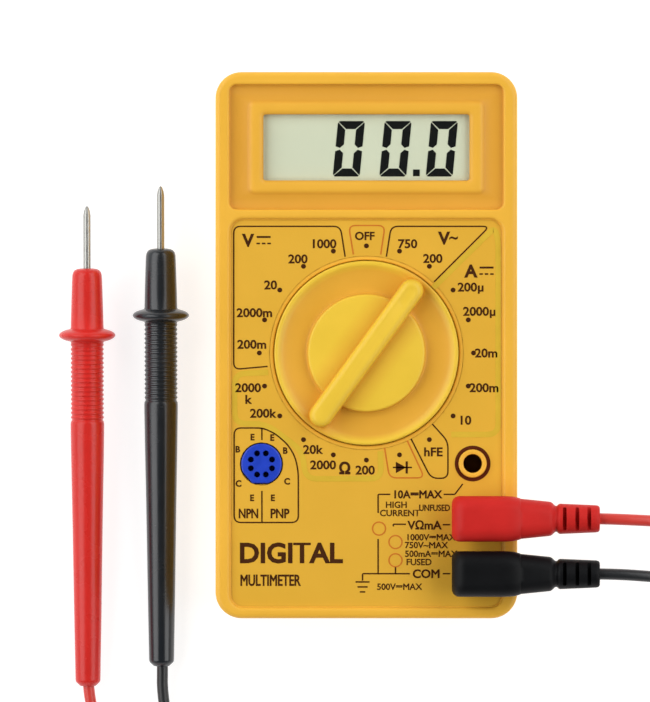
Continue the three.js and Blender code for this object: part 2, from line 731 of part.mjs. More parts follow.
function coilSolid() {
  const { inner, outer, low, high } = COIL;
  return turnedAboutZ([[inner, low], [outer, low], [outer, high], [inner, high], [inner, low]], 36);
}

// The tie goes round the coil's bundle of turns, on the side away from where the lead comes in.
function tieSolid() {
  const { inner, outer, low, high } = COIL;
  const { width, thickness } = TIE;
  const room = GAP + thickness;
  const middle = (low + high) / 2;
  const centre = -(inner + outer) / 2;
  const outside = roundedRectangle(outer - inner + 2 * room, high - low + 2 * room, 1, centre, middle);
  outside.holes.push(roundedRectangle(outer - inner + 2 * GAP, high - low + 2 * GAP, 0.5, centre, middle));
  return slab(outside, -width / 2, width / 2, 3).rotateX(Math.PI / 2);
}

// A probe handle about Y, from its tail to its head, with the flange that guards the fingers at 0.
function handleSolid() {
  const { tail, flange, tail_radius: tailRadius, grip_end: gripEnd, head } = PROBE;
  const { grip, body, head: headRadius, bore } = PROBE_RADII;
  return turned(
    [
      [0, tail],
      [tailRadius - 0.5, tail],
      [tailRadius, tail + 0.5],
      [body, gripEnd - 2.5],
      [body, gripEnd - 0.6],
      [grip, gripEnd],
      [grip, -2],
      [4.3, -1.4],
      [flange - 0.4, -0.5],
      [flange, 0],
      [flange - 0.4, 0.5],
      [4.3, 1.4],
      [body, 2],
      [headRadius, head - 3],
      [headRadius - 0.8, head - 0.9],
      [bore + 0.4, head],
      [bore, head],
      [bore, head - 6],
      [0, head - 6],
    ],
    16,
  );
}

function needleSolid() {
  const { needle } = PROBE_RADII;
  const { head, tip } = PROBE;
  return turned([[0, head - 5.7], [needle, head - 5.7], [needle, tip - 1.8], [0.15, tip], [0, tip]], 12);
}

for (const lead of LEADS) {
  const { colour, tint, jack, coil, probe } = lead;
  add(`${colour}_plug`, toGeometry(plugSolid()), surface(tint, 0.4), [0, jack, 0]);
  add(`${colour}_plug_pin`, turnedAboutZ(pinProfile, 14), surface(COLOURS.steel, 0.25, 1), [JACK.x, jack, 0]);
  add(`${colour}_cord_to_coil`, tube(lead.toCoil, CORD.radius, CORD.sides), surface(tint, 0.45));
  add(`${colour}_coil`, coilSolid(), surface(tint, 0.45), [...coil, 0]);
  add(`${colour}_coil_tie`, tieSolid(), surface(0x1c1d20, 0.6), [...coil, 0]);
  add(`${colour}_cord_to_probe`, tube(lead.toProbe, CORD.radius, CORD.sides), surface(tint, 0.45));

  // The probe lies on its flange and its tail, so its head end is raised.
  const tilt = Math.asin((PROBE.flange - PROBE.tail_radius) / -PROBE.tail);
  const lying = new THREE.Group();
  lying.position.set(probe.x, probe.y, PROBE.flange * Math.cos(tilt) + 0.02);
  lying.rotation.set(tilt, 0, THREE.MathUtils.degToRad(0.23));
  meter.add(lying);
  add(`${colour}_probe_handle`, handleSolid(), surface(tint, 0.4), [0, 0, 0], lying);
  add(`${colour}_probe_needle`, needleSolid(), surface(COLOURS.steel, 0.25, 1), [0, 0, 0], lying);
}

export default meter;
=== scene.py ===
import json
from math import asin, cos, pi, radians, sin, sqrt, tan
from types import SimpleNamespace as Sizes

import bmesh
import bpy
from mathutils import Matrix, Vector
from mathutils.geometry import tessellate_polygon


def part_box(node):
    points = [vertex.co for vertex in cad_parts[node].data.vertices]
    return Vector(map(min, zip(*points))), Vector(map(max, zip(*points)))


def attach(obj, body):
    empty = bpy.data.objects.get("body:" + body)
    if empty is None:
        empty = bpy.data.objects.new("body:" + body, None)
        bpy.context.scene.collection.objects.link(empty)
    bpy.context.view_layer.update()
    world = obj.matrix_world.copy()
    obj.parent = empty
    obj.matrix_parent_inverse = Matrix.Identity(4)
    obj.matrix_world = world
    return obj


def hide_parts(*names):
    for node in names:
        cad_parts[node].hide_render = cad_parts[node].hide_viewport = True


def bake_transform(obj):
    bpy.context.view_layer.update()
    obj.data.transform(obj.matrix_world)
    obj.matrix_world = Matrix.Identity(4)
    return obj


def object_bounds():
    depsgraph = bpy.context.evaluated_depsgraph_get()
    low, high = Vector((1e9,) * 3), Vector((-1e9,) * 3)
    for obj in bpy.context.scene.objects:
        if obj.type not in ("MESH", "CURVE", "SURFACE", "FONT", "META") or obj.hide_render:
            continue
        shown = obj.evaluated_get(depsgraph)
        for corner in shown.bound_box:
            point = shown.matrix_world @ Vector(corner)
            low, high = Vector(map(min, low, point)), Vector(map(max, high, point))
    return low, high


# The looks of a pocket digital multimeter with a red and a black test lead. Lengths are in
# millimetres, as in the CAD source, and MM turns them into metres where a mesh is made.
MM = 0.001

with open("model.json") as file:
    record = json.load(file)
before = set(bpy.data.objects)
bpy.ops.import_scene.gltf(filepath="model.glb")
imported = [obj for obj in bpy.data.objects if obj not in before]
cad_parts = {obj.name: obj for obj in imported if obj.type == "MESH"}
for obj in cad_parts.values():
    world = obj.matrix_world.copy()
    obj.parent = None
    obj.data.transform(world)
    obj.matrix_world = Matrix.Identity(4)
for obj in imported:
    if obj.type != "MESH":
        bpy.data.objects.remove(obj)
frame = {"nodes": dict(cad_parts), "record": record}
cad_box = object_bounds()

# ---- Sizes, most of them shared with the CAD ----
CASE = Sizes(
    width=69.6, length=126, top=25, under_panel=22.72, corner=6, wall=1.8,
    crown=1.2, foot=1.2, split=11,
)
DISPLAY = Sizes(y=45.7, width=63.2, length=28.8, corner=1.7, floor=23.6)
FRAME = Sizes(y=45.6, width=54, length=21, top=24.3, corner=1.2)
WINDOW = Sizes(y=45.6, width=47.5, length=15.2, corner=0.6)
LABEL = Sizes(y=-15.7, width=62.8, length=89.6, corner=3, floor=23.4, top=24.0)
KNOB = Sizes(y=-1.8, opening=21.43, radius=21.25, flange=23.2, pointing=-36)
KNOB_Z = Sizes(stub=16.3, bottom=18.6, flange=21.7, dish=23.8, rim=24.9, hub=25.6, bar=28.5)
BAR = Sizes(width=5.2, length=40.6, pocket_y=15.9, pocket_length=2.6)
BORE = Sizes(radius=1.4, start=15.3, end=25, z=20.2)
SOCKET = Sizes(
    x=-24.2, y=-27.4, radius=4.7, gap=0.3, low=17.9, high=24.3,
    circle=2.64, hole=0.66, holes=8, flat=4.45, chamfer=4.5, key=4.9,
)
JACK = Sizes(x=24.5, rows=(-27.3, -40.0, -52.7), bore=2.15, collar=3.24, top=25)
POSTS = ((0, 27.2), (0, -56))
BOSS = Sizes(head=3.1, shank=1.55, outside=4.4, ledge=5, top=8)
BACK_FIELD = Sizes(y=-6, width=50, length=42, corner=3)
PLUG = Sizes(
    left=19.65, shoulder=35.4, nose=43.3, relief=44.2, end=53.75, half=5.25,
    axis=30.6, fillet=3.3, corner=1.7,
)
SLOTS = Sizes(places=(45.62, 48.52, 51.27), width=0.85, across=5.3, corner=0.3)
PIN = Sizes(radius=1.85, low=8, high=29)
CORD = Sizes(radius=1.3, sides=12, step=2.0, bore=1.45)
COIL = Sizes(pitch=2.6, layers=(2.2, 4.8), shift=0.2, lift=1.6, unwound=0.75)
TIE = Sizes(half=1.5, gap=0.04, thick=0.8, round=0.15)
PROBE = Sizes(tail=-81.3, flange=6.55, tail_radius=2.9, grip_end=-19.7, head=15.5, tip=29.9)
GRIP = Sizes(ribs=17, pitch=1.05)
PROBE_TURN = 0.1
CORD_GRIP = 55
CAMERA = Sizes(lens=1000, sensor=36, clip=(0.1, 20), place=(-9.55, -1.35, 4521))

LEADS = {
    "red": {
        "jack": -40,
        "probe": (-64.6, 2.3),
        "coil": (103.6, -118),
        "coil_radius": 16.2,
        "turns": ((0, 0), (1, 0), (2, 0), (1, 1), (0, 1)),
        "to_coil": (
            (54.05, -40, 30.6), (60, -40.2, 30.5), (67.9, -40.6, 28.7), (74.2, -40.9, 23.6),
            (77.8, -41.1, 16), (81.2, -41.2, 8.7), (87.5, -41.3, 3.3), (97, -41.5, 1.4),
            (105.8, -43.2, 1.35), (113.3, -48.2, 1.35), (118.2, -55.7, 1.35), (120, -64.5, 1.35),
            (120.2, -79, 1.35), (120.1, -94, 1.4), (120, -107.4, 2),
        ),
        "to_probe": (
            (93, -134.4, 3.2), (80, -133.2, 1.5), (66, -128.6, 1.35), (52, -121.6, 1.35),
            (38, -114.6, 1.35), (22, -108.6, 1.35), (4, -104.6, 1.35), (-14, -102.4, 1.35),
            (-32, -101.4, 1.35), (-45.3, -100.4, 1.35), (-54, -97.6, 1.4), (-60.2, -91.6, 1.7),
            (-63.4, -84.4, 2.3), (-64.28, -79.35, 2.75),
        ),
    },
    "black": {
        "jack": -52.7,
        "probe": (-47.55, 6.9),
        "coil": (95.6, -78.6),
        "coil_radius": 16.6,
        "turns": ((0, 0), (1, 0), (2, 0), (2, 1), (1, 1), (0, 1)),
        "to_coil": (
            (54.05, -52.7, 30.6), (60, -52.9, 30.5), (67.9, -53.5, 28.7), (74.2, -54, 23.6),
            (77.8, -54.2, 16), (81.2, -54.3, 8.7), (87.5, -54.4, 3.3), (96, -54.6, 1.4),
            (103.4, -56, 1.35), (109.4, -60.6, 1.5), (112, -68.1, 2),
        ),
        "to_probe": (
            (85, -95, 3.2), (70, -95.6, 1.5), (52, -96.4, 1.35), (34, -96.2, 1.35),
            (16, -95.5, 1.35), (-2, -95.2, 1.35), (-20, -95.6, 1.35), (-33.5, -95.2, 1.35),
            (-41.2, -92.8, 1.4), (-45.8, -87, 1.8), (-47.15, -80, 2.3), (-47.22, -74.65, 2.75),
        ),
    },
}


# ---- Mesh building ----
class Sketch:
    """Rings of points in millimetres and the faces between them."""

    def __init__(self):
        self.points = []
        self.faces = []

    def ring(self, points):
        start = len(self.points)
        self.points += [Vector(p) for p in points]
        return list(range(start, len(self.points)))

    def band(self, low, high):
        for i in range(len(low)):
            j = (i + 1) % len(low)
            self.faces.append((low[i], low[j], high[j], high[i]))

    def loft(self, rings):
        made = [self.ring(r) for r in rings]
        for low, high in zip(made, made[1:]):
            self.band(low, high)
        return made

    def fill(self, outer, *holes):
        loops = [outer, *holes]
        order = [i for loop in loops for i in loop]
        for triangle in tessellate_polygon([[self.points[i] for i in loop] for loop in loops]):
            self.faces.append(tuple(order[k] for k in triangle))

    def tube(self, rings):
        made = self.loft(rings)
        self.fill(made[0])
        self.fill(made[-1])

    def mesh(self, name):
        made = bpy.data.meshes.new(name)
        made.from_pydata([p * MM for p in self.points], [], self.faces)
        return made

    def solid(self, name):
        """A new object in the scene, with its points welded and its faces turned outwards."""
        mesh = self.mesh(name)
        work = bmesh.new()
        work.from_mesh(mesh)
        bmesh.ops.remove_doubles(work, verts=work.verts, dist=0.0005 * MM)
        bmesh.ops.recalc_face_normals(work, faces=work.faces)
        work.to_mesh(mesh)
        work.free()
        return put_in_scene(name, mesh)


def put_in_scene(name, data):
    made = bpy.data.objects.new(name, data)
    bpy.context.scene.collection.objects.link(made)
    return made


def rounded(width, length, radius, z, x=0, y=0, steps=8):
    """A rounded rectangle as a ring of points at one height."""
    points = []
    for quarter, (sx, sy) in enumerate(((1, 1), (-1, 1), (-1, -1), (1, -1))):
        cx, cy = x + sx * (width / 2 - radius), y + sy * (length / 2 - radius)
        for i in range(steps + 1):
            a = pi / 2 * (quarter + i / steps)
            points.append((cx + radius * cos(a), cy + radius * sin(a), z))
    return points


def circle(radius, z, x=0, y=0, sides=96):
    angles = [2 * pi * i / sides for i in range(sides)]
    return [(x + radius * cos(a), y + radius * sin(a), z) for a in angles]


def lathe(profile, sides=96, x=0, y=0):
    """Rings about +Z from (radius, height) pairs; a zero radius becomes a small flat cap."""
    return [circle(max(r, 0.05), z, x, y, sides) for r, z in profile]


def arc(start, end, steps=5):
    """A quarter round between two (radius, height) points that turns from upright to level."""
    (r0, z0), (r1, z1) = start, end
    quarter = [pi / 2 * i / steps for i in range(steps + 1)]
    return [(r1 + (r0 - r1) * cos(a), z0 + (z1 - z0) * sin(a)) for a in quarter]


def round_edge(size, steps=5):
    """(inward, down) from a sharp corner, from the side face round to the top face."""
    quarter = [pi / 2 * i / steps for i in range(steps + 1)]
    return [(size * (1 - sin(a)), size * (1 - cos(a))) for a in quarter]


def make_piece(sketch, name, body, slot, replaces=(), crease=35, cutters=(), place=None):
    """The sketch as a finished object that rides on a body and wears its slot's material."""
    piece = sketch.solid(name)
    for cutter, operation in cutters:
        cut_with(piece, cutter, operation)
    mesh = piece.data
    if place is not None:
        mesh.transform(place)
    for face in mesh.polygons:
        face.use_smooth = len(face.vertices) > 3
    mesh.set_sharp_from_angle(angle=radians(crease))
    mesh.materials.clear()
    mesh.materials.append(MATERIALS[slot])
    if body:
        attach(piece, body)
    if replaces:
        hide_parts(*replaces)
    return piece


def cut_with(piece, cutter, operation):
    """Joins or subtracts a closed sketch, for good."""
    tool = cutter.solid("cutter")
    step = piece.modifiers.new("cut", "BOOLEAN")
    step.operation = operation
    step.solver = "EXACT"
    step.object = tool
    graph = bpy.context.evaluated_depsgraph_get()
    result = bpy.data.meshes.new_from_object(piece.evaluated_get(graph))
    piece.modifiers.clear()
    piece.data = result
    bpy.data.objects.remove(tool)


# ---- Materials ----
def srgb(red, green, blue):
    """A colour seen on screen, from 0 to 255, as the linear colour a shader takes."""
    parts = [c / 255 for c in (red, green, blue)]
    return [c / 12.92 if c <= 0.04045 else ((c + 0.055) / 1.055) ** 2.4 for c in parts]


def shade(colour, factor):
    return (*[min(1.0, c * factor) for c in colour], 1.0)


def set_inputs(node, values):
    for name, value in values.items():
        node.inputs[name].default_value = value


def noise(tree, scale, detail=4.0, rough=0.5, stretch=(1.0, 1.0, 1.0)):
    """Noise in the piece's own space; scale is the size of its features in millimetres."""
    place = tree.nodes.new("ShaderNodeTexCoord")
    mapping = tree.nodes.new("ShaderNodeMapping")
    texture = tree.nodes.new("ShaderNodeTexNoise")
    set_inputs(mapping, {"Scale": stretch})
    set_inputs(texture, {"Scale": 1.0 / (scale * MM), "Detail": detail, "Roughness": rough})
    tree.links.new(place.outputs["Object"], mapping.inputs["Vector"])
    tree.links.new(mapping.outputs["Vector"], texture.inputs["Vector"])
    return texture.outputs["Fac"]


def feed(tree, socket, value):
    """Gives a socket another node's output or a plain value."""
    if isinstance(value, bpy.types.NodeSocket):
        tree.links.new(value, socket)
    else:
        socket.default_value = value


def remap(tree, value, low, high, out_low, out_high):
    node = tree.nodes.new("ShaderNodeMapRange")
    set_inputs(node, {"From Min": low, "From Max": high, "To Min": out_low, "To Max": out_high})
    tree.links.new(value, node.inputs["Value"])
    return node.outputs["Result"]


def blend_colours(tree, factor, first, second, mode="MIX"):
    node = tree.nodes.new("ShaderNodeMix")
    node.data_type = "RGBA"
    node.blend_type = mode
    tree.links.new(factor, node.inputs["Factor"])
    feed(tree, node.inputs[6], first)
    feed(tree, node.inputs[7], second)
    return node.outputs[2]


def finish(
    name, colour, roughness, vary=0.06, blotch=12, grain=0.3, depth=0.01, scuff=0.0,
    metallic=0.0, specular=0.5, alpha=1.0,
):
    """A moulded, printed or metal finish: mottled colour, fine grain, uneven gloss and scuffs."""
    made = bpy.data.materials.new(name)
    made.use_nodes = True
    tree = made.node_tree
    shader = tree.nodes["Principled BSDF"]
    patches = noise(tree, blotch)
    mottle = remap(tree, patches, 0.3, 0.7, 0, 1)
    tint = blend_colours(tree, mottle, shade(colour, 1 - vary), shade(colour, 1 + vary))
    rough = remap(tree, patches, 0.3, 0.7, max(0.02, roughness - 0.05), roughness + 0.05)
    if scuff:
        marks = remap(tree, noise(tree, 3.0, 6.0, 0.7, (1.0, 6.0, 1.0)), 0.64, 0.72, 0, scuff)
        tint = blend_colours(tree, marks, tint, shade([c * 0.6 + 0.25 for c in colour], 1))
    tree.links.new(tint, shader.inputs["Base Color"])
    tree.links.new(rough, shader.inputs["Roughness"])
    bump = tree.nodes.new("ShaderNodeBump")
    set_inputs(bump, {"Distance": depth * MM, "Strength": 1.0})
    tree.links.new(noise(tree, grain, 3.0, 0.6), bump.inputs["Height"])
    tree.links.new(bump.outputs["Normal"], shader.inputs["Normal"])
    set_inputs(shader, {"Metallic": metallic, "Specular IOR Level": specular, "Alpha": alpha})
    return made


# Each finish: its colour on screen; its roughness, variation, blotch size, grain size, grain depth and
# scuffs; and what its shader has that the others don't.
FINISHES = {
    "shell_plastic": ((243, 184, 60), (0.42, 0.03, 25, 0.35, 0.012, 0.05), {"specular": 0.35}),
    "label_film": ((229, 176, 54), (0.5, 0.03, 18, 0.18, 0.004, 0.04), {"specular": 0.25}),
    "knob_plastic": ((241, 200, 60), (0.4, 0.03, 9, 0.3, 0.008, 0.06), {"specular": 0.35}),
    "window_plastic": ((110, 114, 112), (0.08, 0.01, 20, 4, 0.002), {"alpha": 0.02}),
    "lcd": ((217, 224, 196), (0.4, 0.02, 14, 0.2, 0.001), {"specular": 0.3}),
    "blue_plastic": ((30, 66, 196), (0.35, 0.1, 3, 0.25, 0.008, 0.05), {}),
    "black_plastic": ((30, 31, 33), (0.45, 0.1, 5, 0.3, 0.01, 0.05), {}),
    "brass": ((214, 176, 92), (0.25, 0.08, 3, 0.2, 0.004), {"metallic": 1}),
    "steel": ((190, 190, 188), (0.28, 0.06, 3, 0.2, 0.004), {"metallic": 1}),
    "copper": ((205, 128, 88), (0.3, 0.08, 3, 0.3, 0.004), {"metallic": 1}),
    "circuit_board": ((36, 105, 62), (0.45, 0.12, 4, 0.4, 0.02), {}),
    "contact_rubber": ((90, 92, 96), (0.8, 0.1, 2, 0.2, 0.02), {}),
    "battery_can": ((52, 60, 78), (0.3, 0.08, 10, 0.3, 0.01, 0.08), {"metallic": 0.4}),
    "fuse_glass": ((226, 226, 216), (0.1, 0.03, 5, 1, 0.002), {}),
    "film_capacitor": ((176, 84, 44), (0.35, 0.08, 3, 0.3, 0.01), {}),
    "resistor_body": ((206, 180, 132), (0.45, 0.1, 1.5, 0.2, 0.01), {}),
    "red_wire": ((196, 40, 34), (0.45, 0.06, 4, 0.3, 0.01), {}),
    "black_wire": ((24, 24, 26), (0.45, 0.06, 4, 0.3, 0.01), {}),
    "red_lead_plastic": ((212, 44, 38), (0.27, 0.05, 8, 0.25, 0.006, 0.04), {"specular": 0.35}),
    "black_lead_plastic": ((33, 37, 42), (0.25, 0.08, 8, 0.25, 0.006, 0.02), {"specular": 0.6}),
    "red_cord": ((214, 60, 50), (0.4, 0.05, 10, 0.4, 0.012, 0.03), {}),
    "black_cord": ((34, 36, 38), (0.38, 0.08, 10, 0.4, 0.012, 0.03), {}),
    "red_plug_plastic": ((203, 38, 34), (0.48, 0.06, 6, 0.3, 0.01, 0.04), {"specular": 0.16}),
    "black_plug_plastic": ((12, 13, 15), (0.5, 0.15, 6, 0.3, 0.01, 0.01), {"specular": 0.14}),
    "plated_pin": ((168, 168, 164), (0.4, 0.05, 3, 0.25, 0.003), {"metallic": 1}),
    "dark_print": ((70, 36, 10), (0.5, 0.1, 2, 0.15, 0.002), {"specular": 0.12}),
    "maroon_print": ((88, 36, 10), (0.5, 0.1, 2, 0.15, 0.002), {"specular": 0.12}),
    "orange_print": ((208, 118, 38), (0.5, 0.06, 2, 0.15, 0.002), {"specular": 0.2}),
    "lime_print": ((218, 180, 52), (0.5, 0.05, 6, 0.15, 0.002), {"specular": 0.2}),
    "lcd_ink": ((3, 5, 4), (0.5, 0.1, 2, 0.2, 0.001), {"specular": 0.1}),
}
MATERIALS = {
    name: finish(name, srgb(*colour), *surface, **shader)
    for name, (colour, surface, shader) in FINISHES.items()
}


def local_place(tree, centre, turn=0.0):
    """The x, y and z of a point of the piece in millimetres, about a centre and turned about Z."""
    place = tree.nodes.new("ShaderNodeTexCoord")
    mapping = tree.nodes.new("ShaderNodeMapping")
    mapping.vector_type = "TEXTURE"
    turned = (0, 0, radians(turn))
    set_inputs(mapping, {"Location": Vector(centre) * MM, "Rotation": turned, "Scale": (MM, MM, MM)})
    split = tree.nodes.new("ShaderNodeSeparateXYZ")
    tree.links.new(place.outputs["Object"], mapping.inputs["Vector"])
    tree.links.new(mapping.outputs["Vector"], split.inputs["Vector"])
    return [split.outputs[axis] for axis in "XYZ"]


def calculate(tree, operation, *values):
    node = tree.nodes.new("ShaderNodeMath")
    node.operation = operation
    for socket, value in zip(node.inputs, values):
        feed(tree, socket, value)
    return node.outputs[0]


def tint_where(material, factor, tint):
    """Multiplies the base colour by a tint where the factor says."""
    tree = material.node_tree
    socket = tree.nodes["Principled BSDF"].inputs["Base Color"]
    untinted = socket.links[0].from_socket
    tree.links.new(blend_colours(tree, factor, untinted, (*tint, 1), "MULTIPLY"), socket)


def squared(tree, value):
    return calculate(tree, "POWER", value, 2.0)


def paint_shade_in_knob_dish(material):
    """Painted shade: the moulded dish round the hub and the foot of the bar are tinted darker and warmer
    than the high parts, for the shade and warm bounced light there.
    """
    tree = material.node_tree
    x, y, z = local_place(tree, (0, KNOB.y, 0), KNOB.pointing)
    radius = calculate(tree, "SQRT", calculate(tree, "ADD", squared(tree, x), squared(tree, y)))
    past_hub = remap(tree, radius, 13.3, 13.7, 0, 1)
    short_of_rim = remap(tree, radius, 19.0, 20.4, 1, 0)
    dish = calculate(tree, "MULTIPLY", past_hub, short_of_rim)
    foot = remap(tree, calculate(tree, "ABSOLUTE", x), 2.6, 7.5, 0.8, 0)
    low = remap(tree, z, KNOB_Z.hub + 0.3, KNOB_Z.hub + 1.3, 1, 0)
    # sunk marks where shade is painted: the dish and the foot of the bar, below the bar's top.
    sunk = calculate(tree, "MULTIPLY", calculate(tree, "MAXIMUM", dish, foot), low)
    tint_where(material, sunk, (0.9, 0.7, 0.8))


def paint_shade_in_display_recess(material):
    """Painted shade: the recessed panel round the display is tinted darker, for the shade in the recess."""
    tree = material.node_tree
    x, y, z = local_place(tree, (0, DISPLAY.y, 0))
    inside = remap(tree, z, DISPLAY.floor + 0.1, FRAME.top + 0.2, 1, 0)
    for value, side in ((x, DISPLAY.width / 2), (y, DISPLAY.length / 2)):
        within = remap(tree, calculate(tree, "ABSOLUTE", value), side, side + 0.3, 1, 0)
        inside = calculate(tree, "MULTIPLY", inside, within)
    # inside marks the recess floor, where shade is painted.
    tint_where(material, inside, (0.85, 0.77, 0.78))


# Paints shade into the knob's dish and round the foot of its bar.
paint_shade_in_knob_dish(MATERIALS["knob_plastic"])
# Paints shade into the recess round the display.
paint_shade_in_display_recess(MATERIALS["shell_plastic"])


# ---- Camera ----
def look_down():
    """A very long lens straight above the face, because the photograph shows no sides."""
    camera = put_in_scene("camera", bpy.data.cameras.new("camera"))
    camera.data.lens = CAMERA.lens
    camera.data.sensor_width = CAMERA.sensor
    camera.data.clip_start, camera.data.clip_end = CAMERA.clip
    camera.location = Vector(CAMERA.place) * MM
    bpy.context.scene.camera = camera


# ---- Test leads ----
def smooth_line(corners, step):
    """Points every step or so along a centripetal Catmull-Rom curve through the corners."""
    corners = [Vector(p) for p in corners]
    ends = [2 * corners[0] - corners[1], *corners, 2 * corners[-1] - corners[-2]]
    line = []
    for before, start, end, after in zip(ends, ends[1:], ends[2:], ends[3:]):
        d0, d1, d2 = (sqrt((b - a).length) for a, b in ((before, start), (start, end), (end, after)))
        leave = ((start - before) / d0 - (end - before) / (d0 + d1) + (end - start) / d1) * d1
        arrive = ((end - start) / d1 - (after - start) / (d1 + d2) + (after - end) / d2) * d1
        count = max(2, round((end - start).length / step))
        for i in range(count):
            t = i / count
            line.append(
                (2 * t**3 - 3 * t**2 + 1) * start + (t**3 - 2 * t**2 + t) * leave
                + (3 * t**2 - 2 * t**3) * end + (t**3 - t**2) * arrive
            )
    return [*line, corners[-1]]


def ease(t):
    t = min(1.0, max(0.0, t))
    return t * t * (3 - 2 * t)


def coil_points(centre, outside, turns, per_turn=24):
    """Clockwise turns from the right side to the near side. Each turn is (ring, layer): rings lie
    beside each other from the outside in, and layers on each other. A turn moves to the next one's
    place near its end, upwards first."""
    points = []
    total = len(turns) - COIL.unwound
    for i in range(int(total * per_turn) + 1):
        along = i / per_turn
        now = min(int(along), len(turns) - 1)
        (ring, layer), (next_ring, next_layer) = turns[now], turns[min(now + 1, len(turns) - 1)]
        moved = (along - now - (1 - COIL.shift)) / COIL.shift
        lifted = ease(moved * COIL.lift)
        radius = outside - COIL.pitch * (ring + (next_ring - ring) * ease(moved))
        z = COIL.layers[layer] * (1 - lifted) + COIL.layers[next_layer] * lifted
        angle = -2 * pi * along
        points.append((centre[0] + radius * cos(angle), centre[1] + radius * sin(angle), z))
    return points


def probe_place(x, y):
    """The probe lies on its flange and its tail, so its tip is raised."""
    tilt = asin((PROBE.flange - PROBE.tail_radius) / -PROBE.tail)
    turn = Matrix.Rotation(tilt, 4, "X") @ Matrix.Rotation(radians(PROBE_TURN), 4, "Z")
    return Matrix.Translation((x, y, PROBE.flange * cos(tilt) + 0.02)) @ turn


def cord_route(lead):
    inside_plug = [(x, lead["jack"], PLUG.axis) for x in (PLUG.relief + 2, PLUG.end - 3)]
    place = probe_place(*lead["probe"])
    inside_probe = [place @ Vector((0, PROBE.tail + depth, 0)) for depth in (6, 30, CORD_GRIP)]
    turns = coil_points(lead["coil"], lead["coil_radius"], lead["turns"])
    corners = [*inside_plug, *lead["to_coil"], *turns, *lead["to_probe"], *inside_probe]
    return smooth_line(corners, CORD.step)


def heading(line, i):
    """The way a line goes at one of its points."""
    return (line[min(i + 1, len(line) - 1)] - line[max(i - 1, 0)]).normalized()


def swept_rings(line, radius, sides):
    """Circles across a line, turned as little as can be from one to the next."""
    rings = []
    side = None
    for i, point in enumerate(line):
        ahead = heading(line, i)
        side = Vector((0, 0, 1)).cross(ahead) if side is None else side
        side = (side - ahead * side.dot(ahead)).normalized()
        up = ahead.cross(side)
        angles = [2 * pi * k / sides for k in range(sides)]
        rings.append([point + radius * (cos(a) * side + sin(a) * up) for a in angles])
    return rings


def make_cord(colour, lead):
    line = cord_route(lead)
    sketch = Sketch()
    sketch.tube(swept_rings(line, CORD.radius, CORD.sides))
    solids = [f"{colour}_cord_to_coil", f"{colour}_coil", f"{colour}_cord_to_probe"]
    cord = make_piece(sketch, f"{colour}_cord", None, f"{colour}_cord", solids, crease=60)
    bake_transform(cord)


def plug_sections():
    """(x, half width, half height, corner radius) along the plug, from its blunt end to the cord."""
    half, shoulder, relief = PLUG.half, PLUG.shoulder, PLUG.relief
    fillet, corner = PLUG.fillet, PLUG.corner
    body = []
    for i in range(8):
        a = pi / 2 * i / 7
        along = fillet * (1 - cos(a))
        short = corner - sqrt(corner**2 - max(0.0, corner - along) ** 2)
        body.append((PLUG.left + along, half - short, half - fillet * (1 - sin(a)), fillet))
    taper = [
        (31.8, half), (33.0, 5.2), (34.2, 5.06), (35.0, 4.86), (shoulder, 4.72), (shoulder + 0.15, 4.62),
        (36.3, 4.55), (39.2, 4.26), (42.0, 3.98), (42.45, 3.88), (42.8, 3.66), (43.1, 3.36), (43.4, 3.08),
        (PLUG.nose + 0.35, 2.98), (43.9, 3.04), (44.1, 3.25), (relief + 0.1, 3.42), (44.6, 3.5), (47, 3.4),
        (50, 3.27), (52.9, 3.14), (53.3, 3.05), (53.6, 2.85), (PLUG.end, 2.5),
    ]
    return body + [(x, size, size, fillet) for x, size in taper]


def relief_slots(y):
    """The three slots across the top and the three across the bottom of the strain relief."""
    width, across, corner = SLOTS.width, SLOTS.across, SLOTS.corner
    slots = []
    for x in SLOTS.places:
        for side in (1, -1):
            slot = Sketch()
            rings = []
            for depth, grow in ((1.75, 0), (2.9, 0), (4.5, 0.25)):
                z = PLUG.axis + side * depth
                rings.append(rounded(width + grow, across + grow, corner, z, x, y, 4))
            slot.tube(rings)
            slots.append((slot, "DIFFERENCE"))
    return slots


def pin_profile():
    """(radius, height) of the plug's pin, with its spring waist near the collar."""
    radius, low, high = PIN.radius, PIN.low, PIN.high
    tip = [(0, low), (0.9, low), (1.35, low + 0.5), (1.55, low + 1.5), (radius, low + 4)]
    waist = [(radius, low + 11), (1.6, low + 13.5), (1.6, low + 15), (radius, low + 15.2)]
    return [*tip, *waist, (radius, high), (0, high)]


def make_plug(colour, lead):
    sketch = Sketch()
    rings = []
    for x, width, height, corner in plug_sections():
        ring = rounded(2 * width, 2 * height, min(corner, width, height) - 0.01, 0)
        rings.append([(x, lead["jack"] + a, PLUG.axis + b) for a, b, _ in ring])
    sketch.tube(rings)
    body = f"{colour}_lead_plug"
    slot = f"{colour}_lead_plastic"
    slots = relief_slots(lead["jack"])
    stands_for = [f"{colour}_plug"]
    plug = make_piece(sketch, f"{colour}_plug_body", body, slot, stands_for, crease=30, cutters=slots)
    plug.data.materials[0] = MATERIALS[f"{colour}_plug_plastic"]
    pin = Sketch()
    pin.tube(lathe(pin_profile(), 40, JACK.x, lead["jack"]))
    pin_piece = make_piece(pin, f"{colour}_pin", body, "plated_pin", [f"{colour}_plug_pin"])
    return [plug, pin_piece]


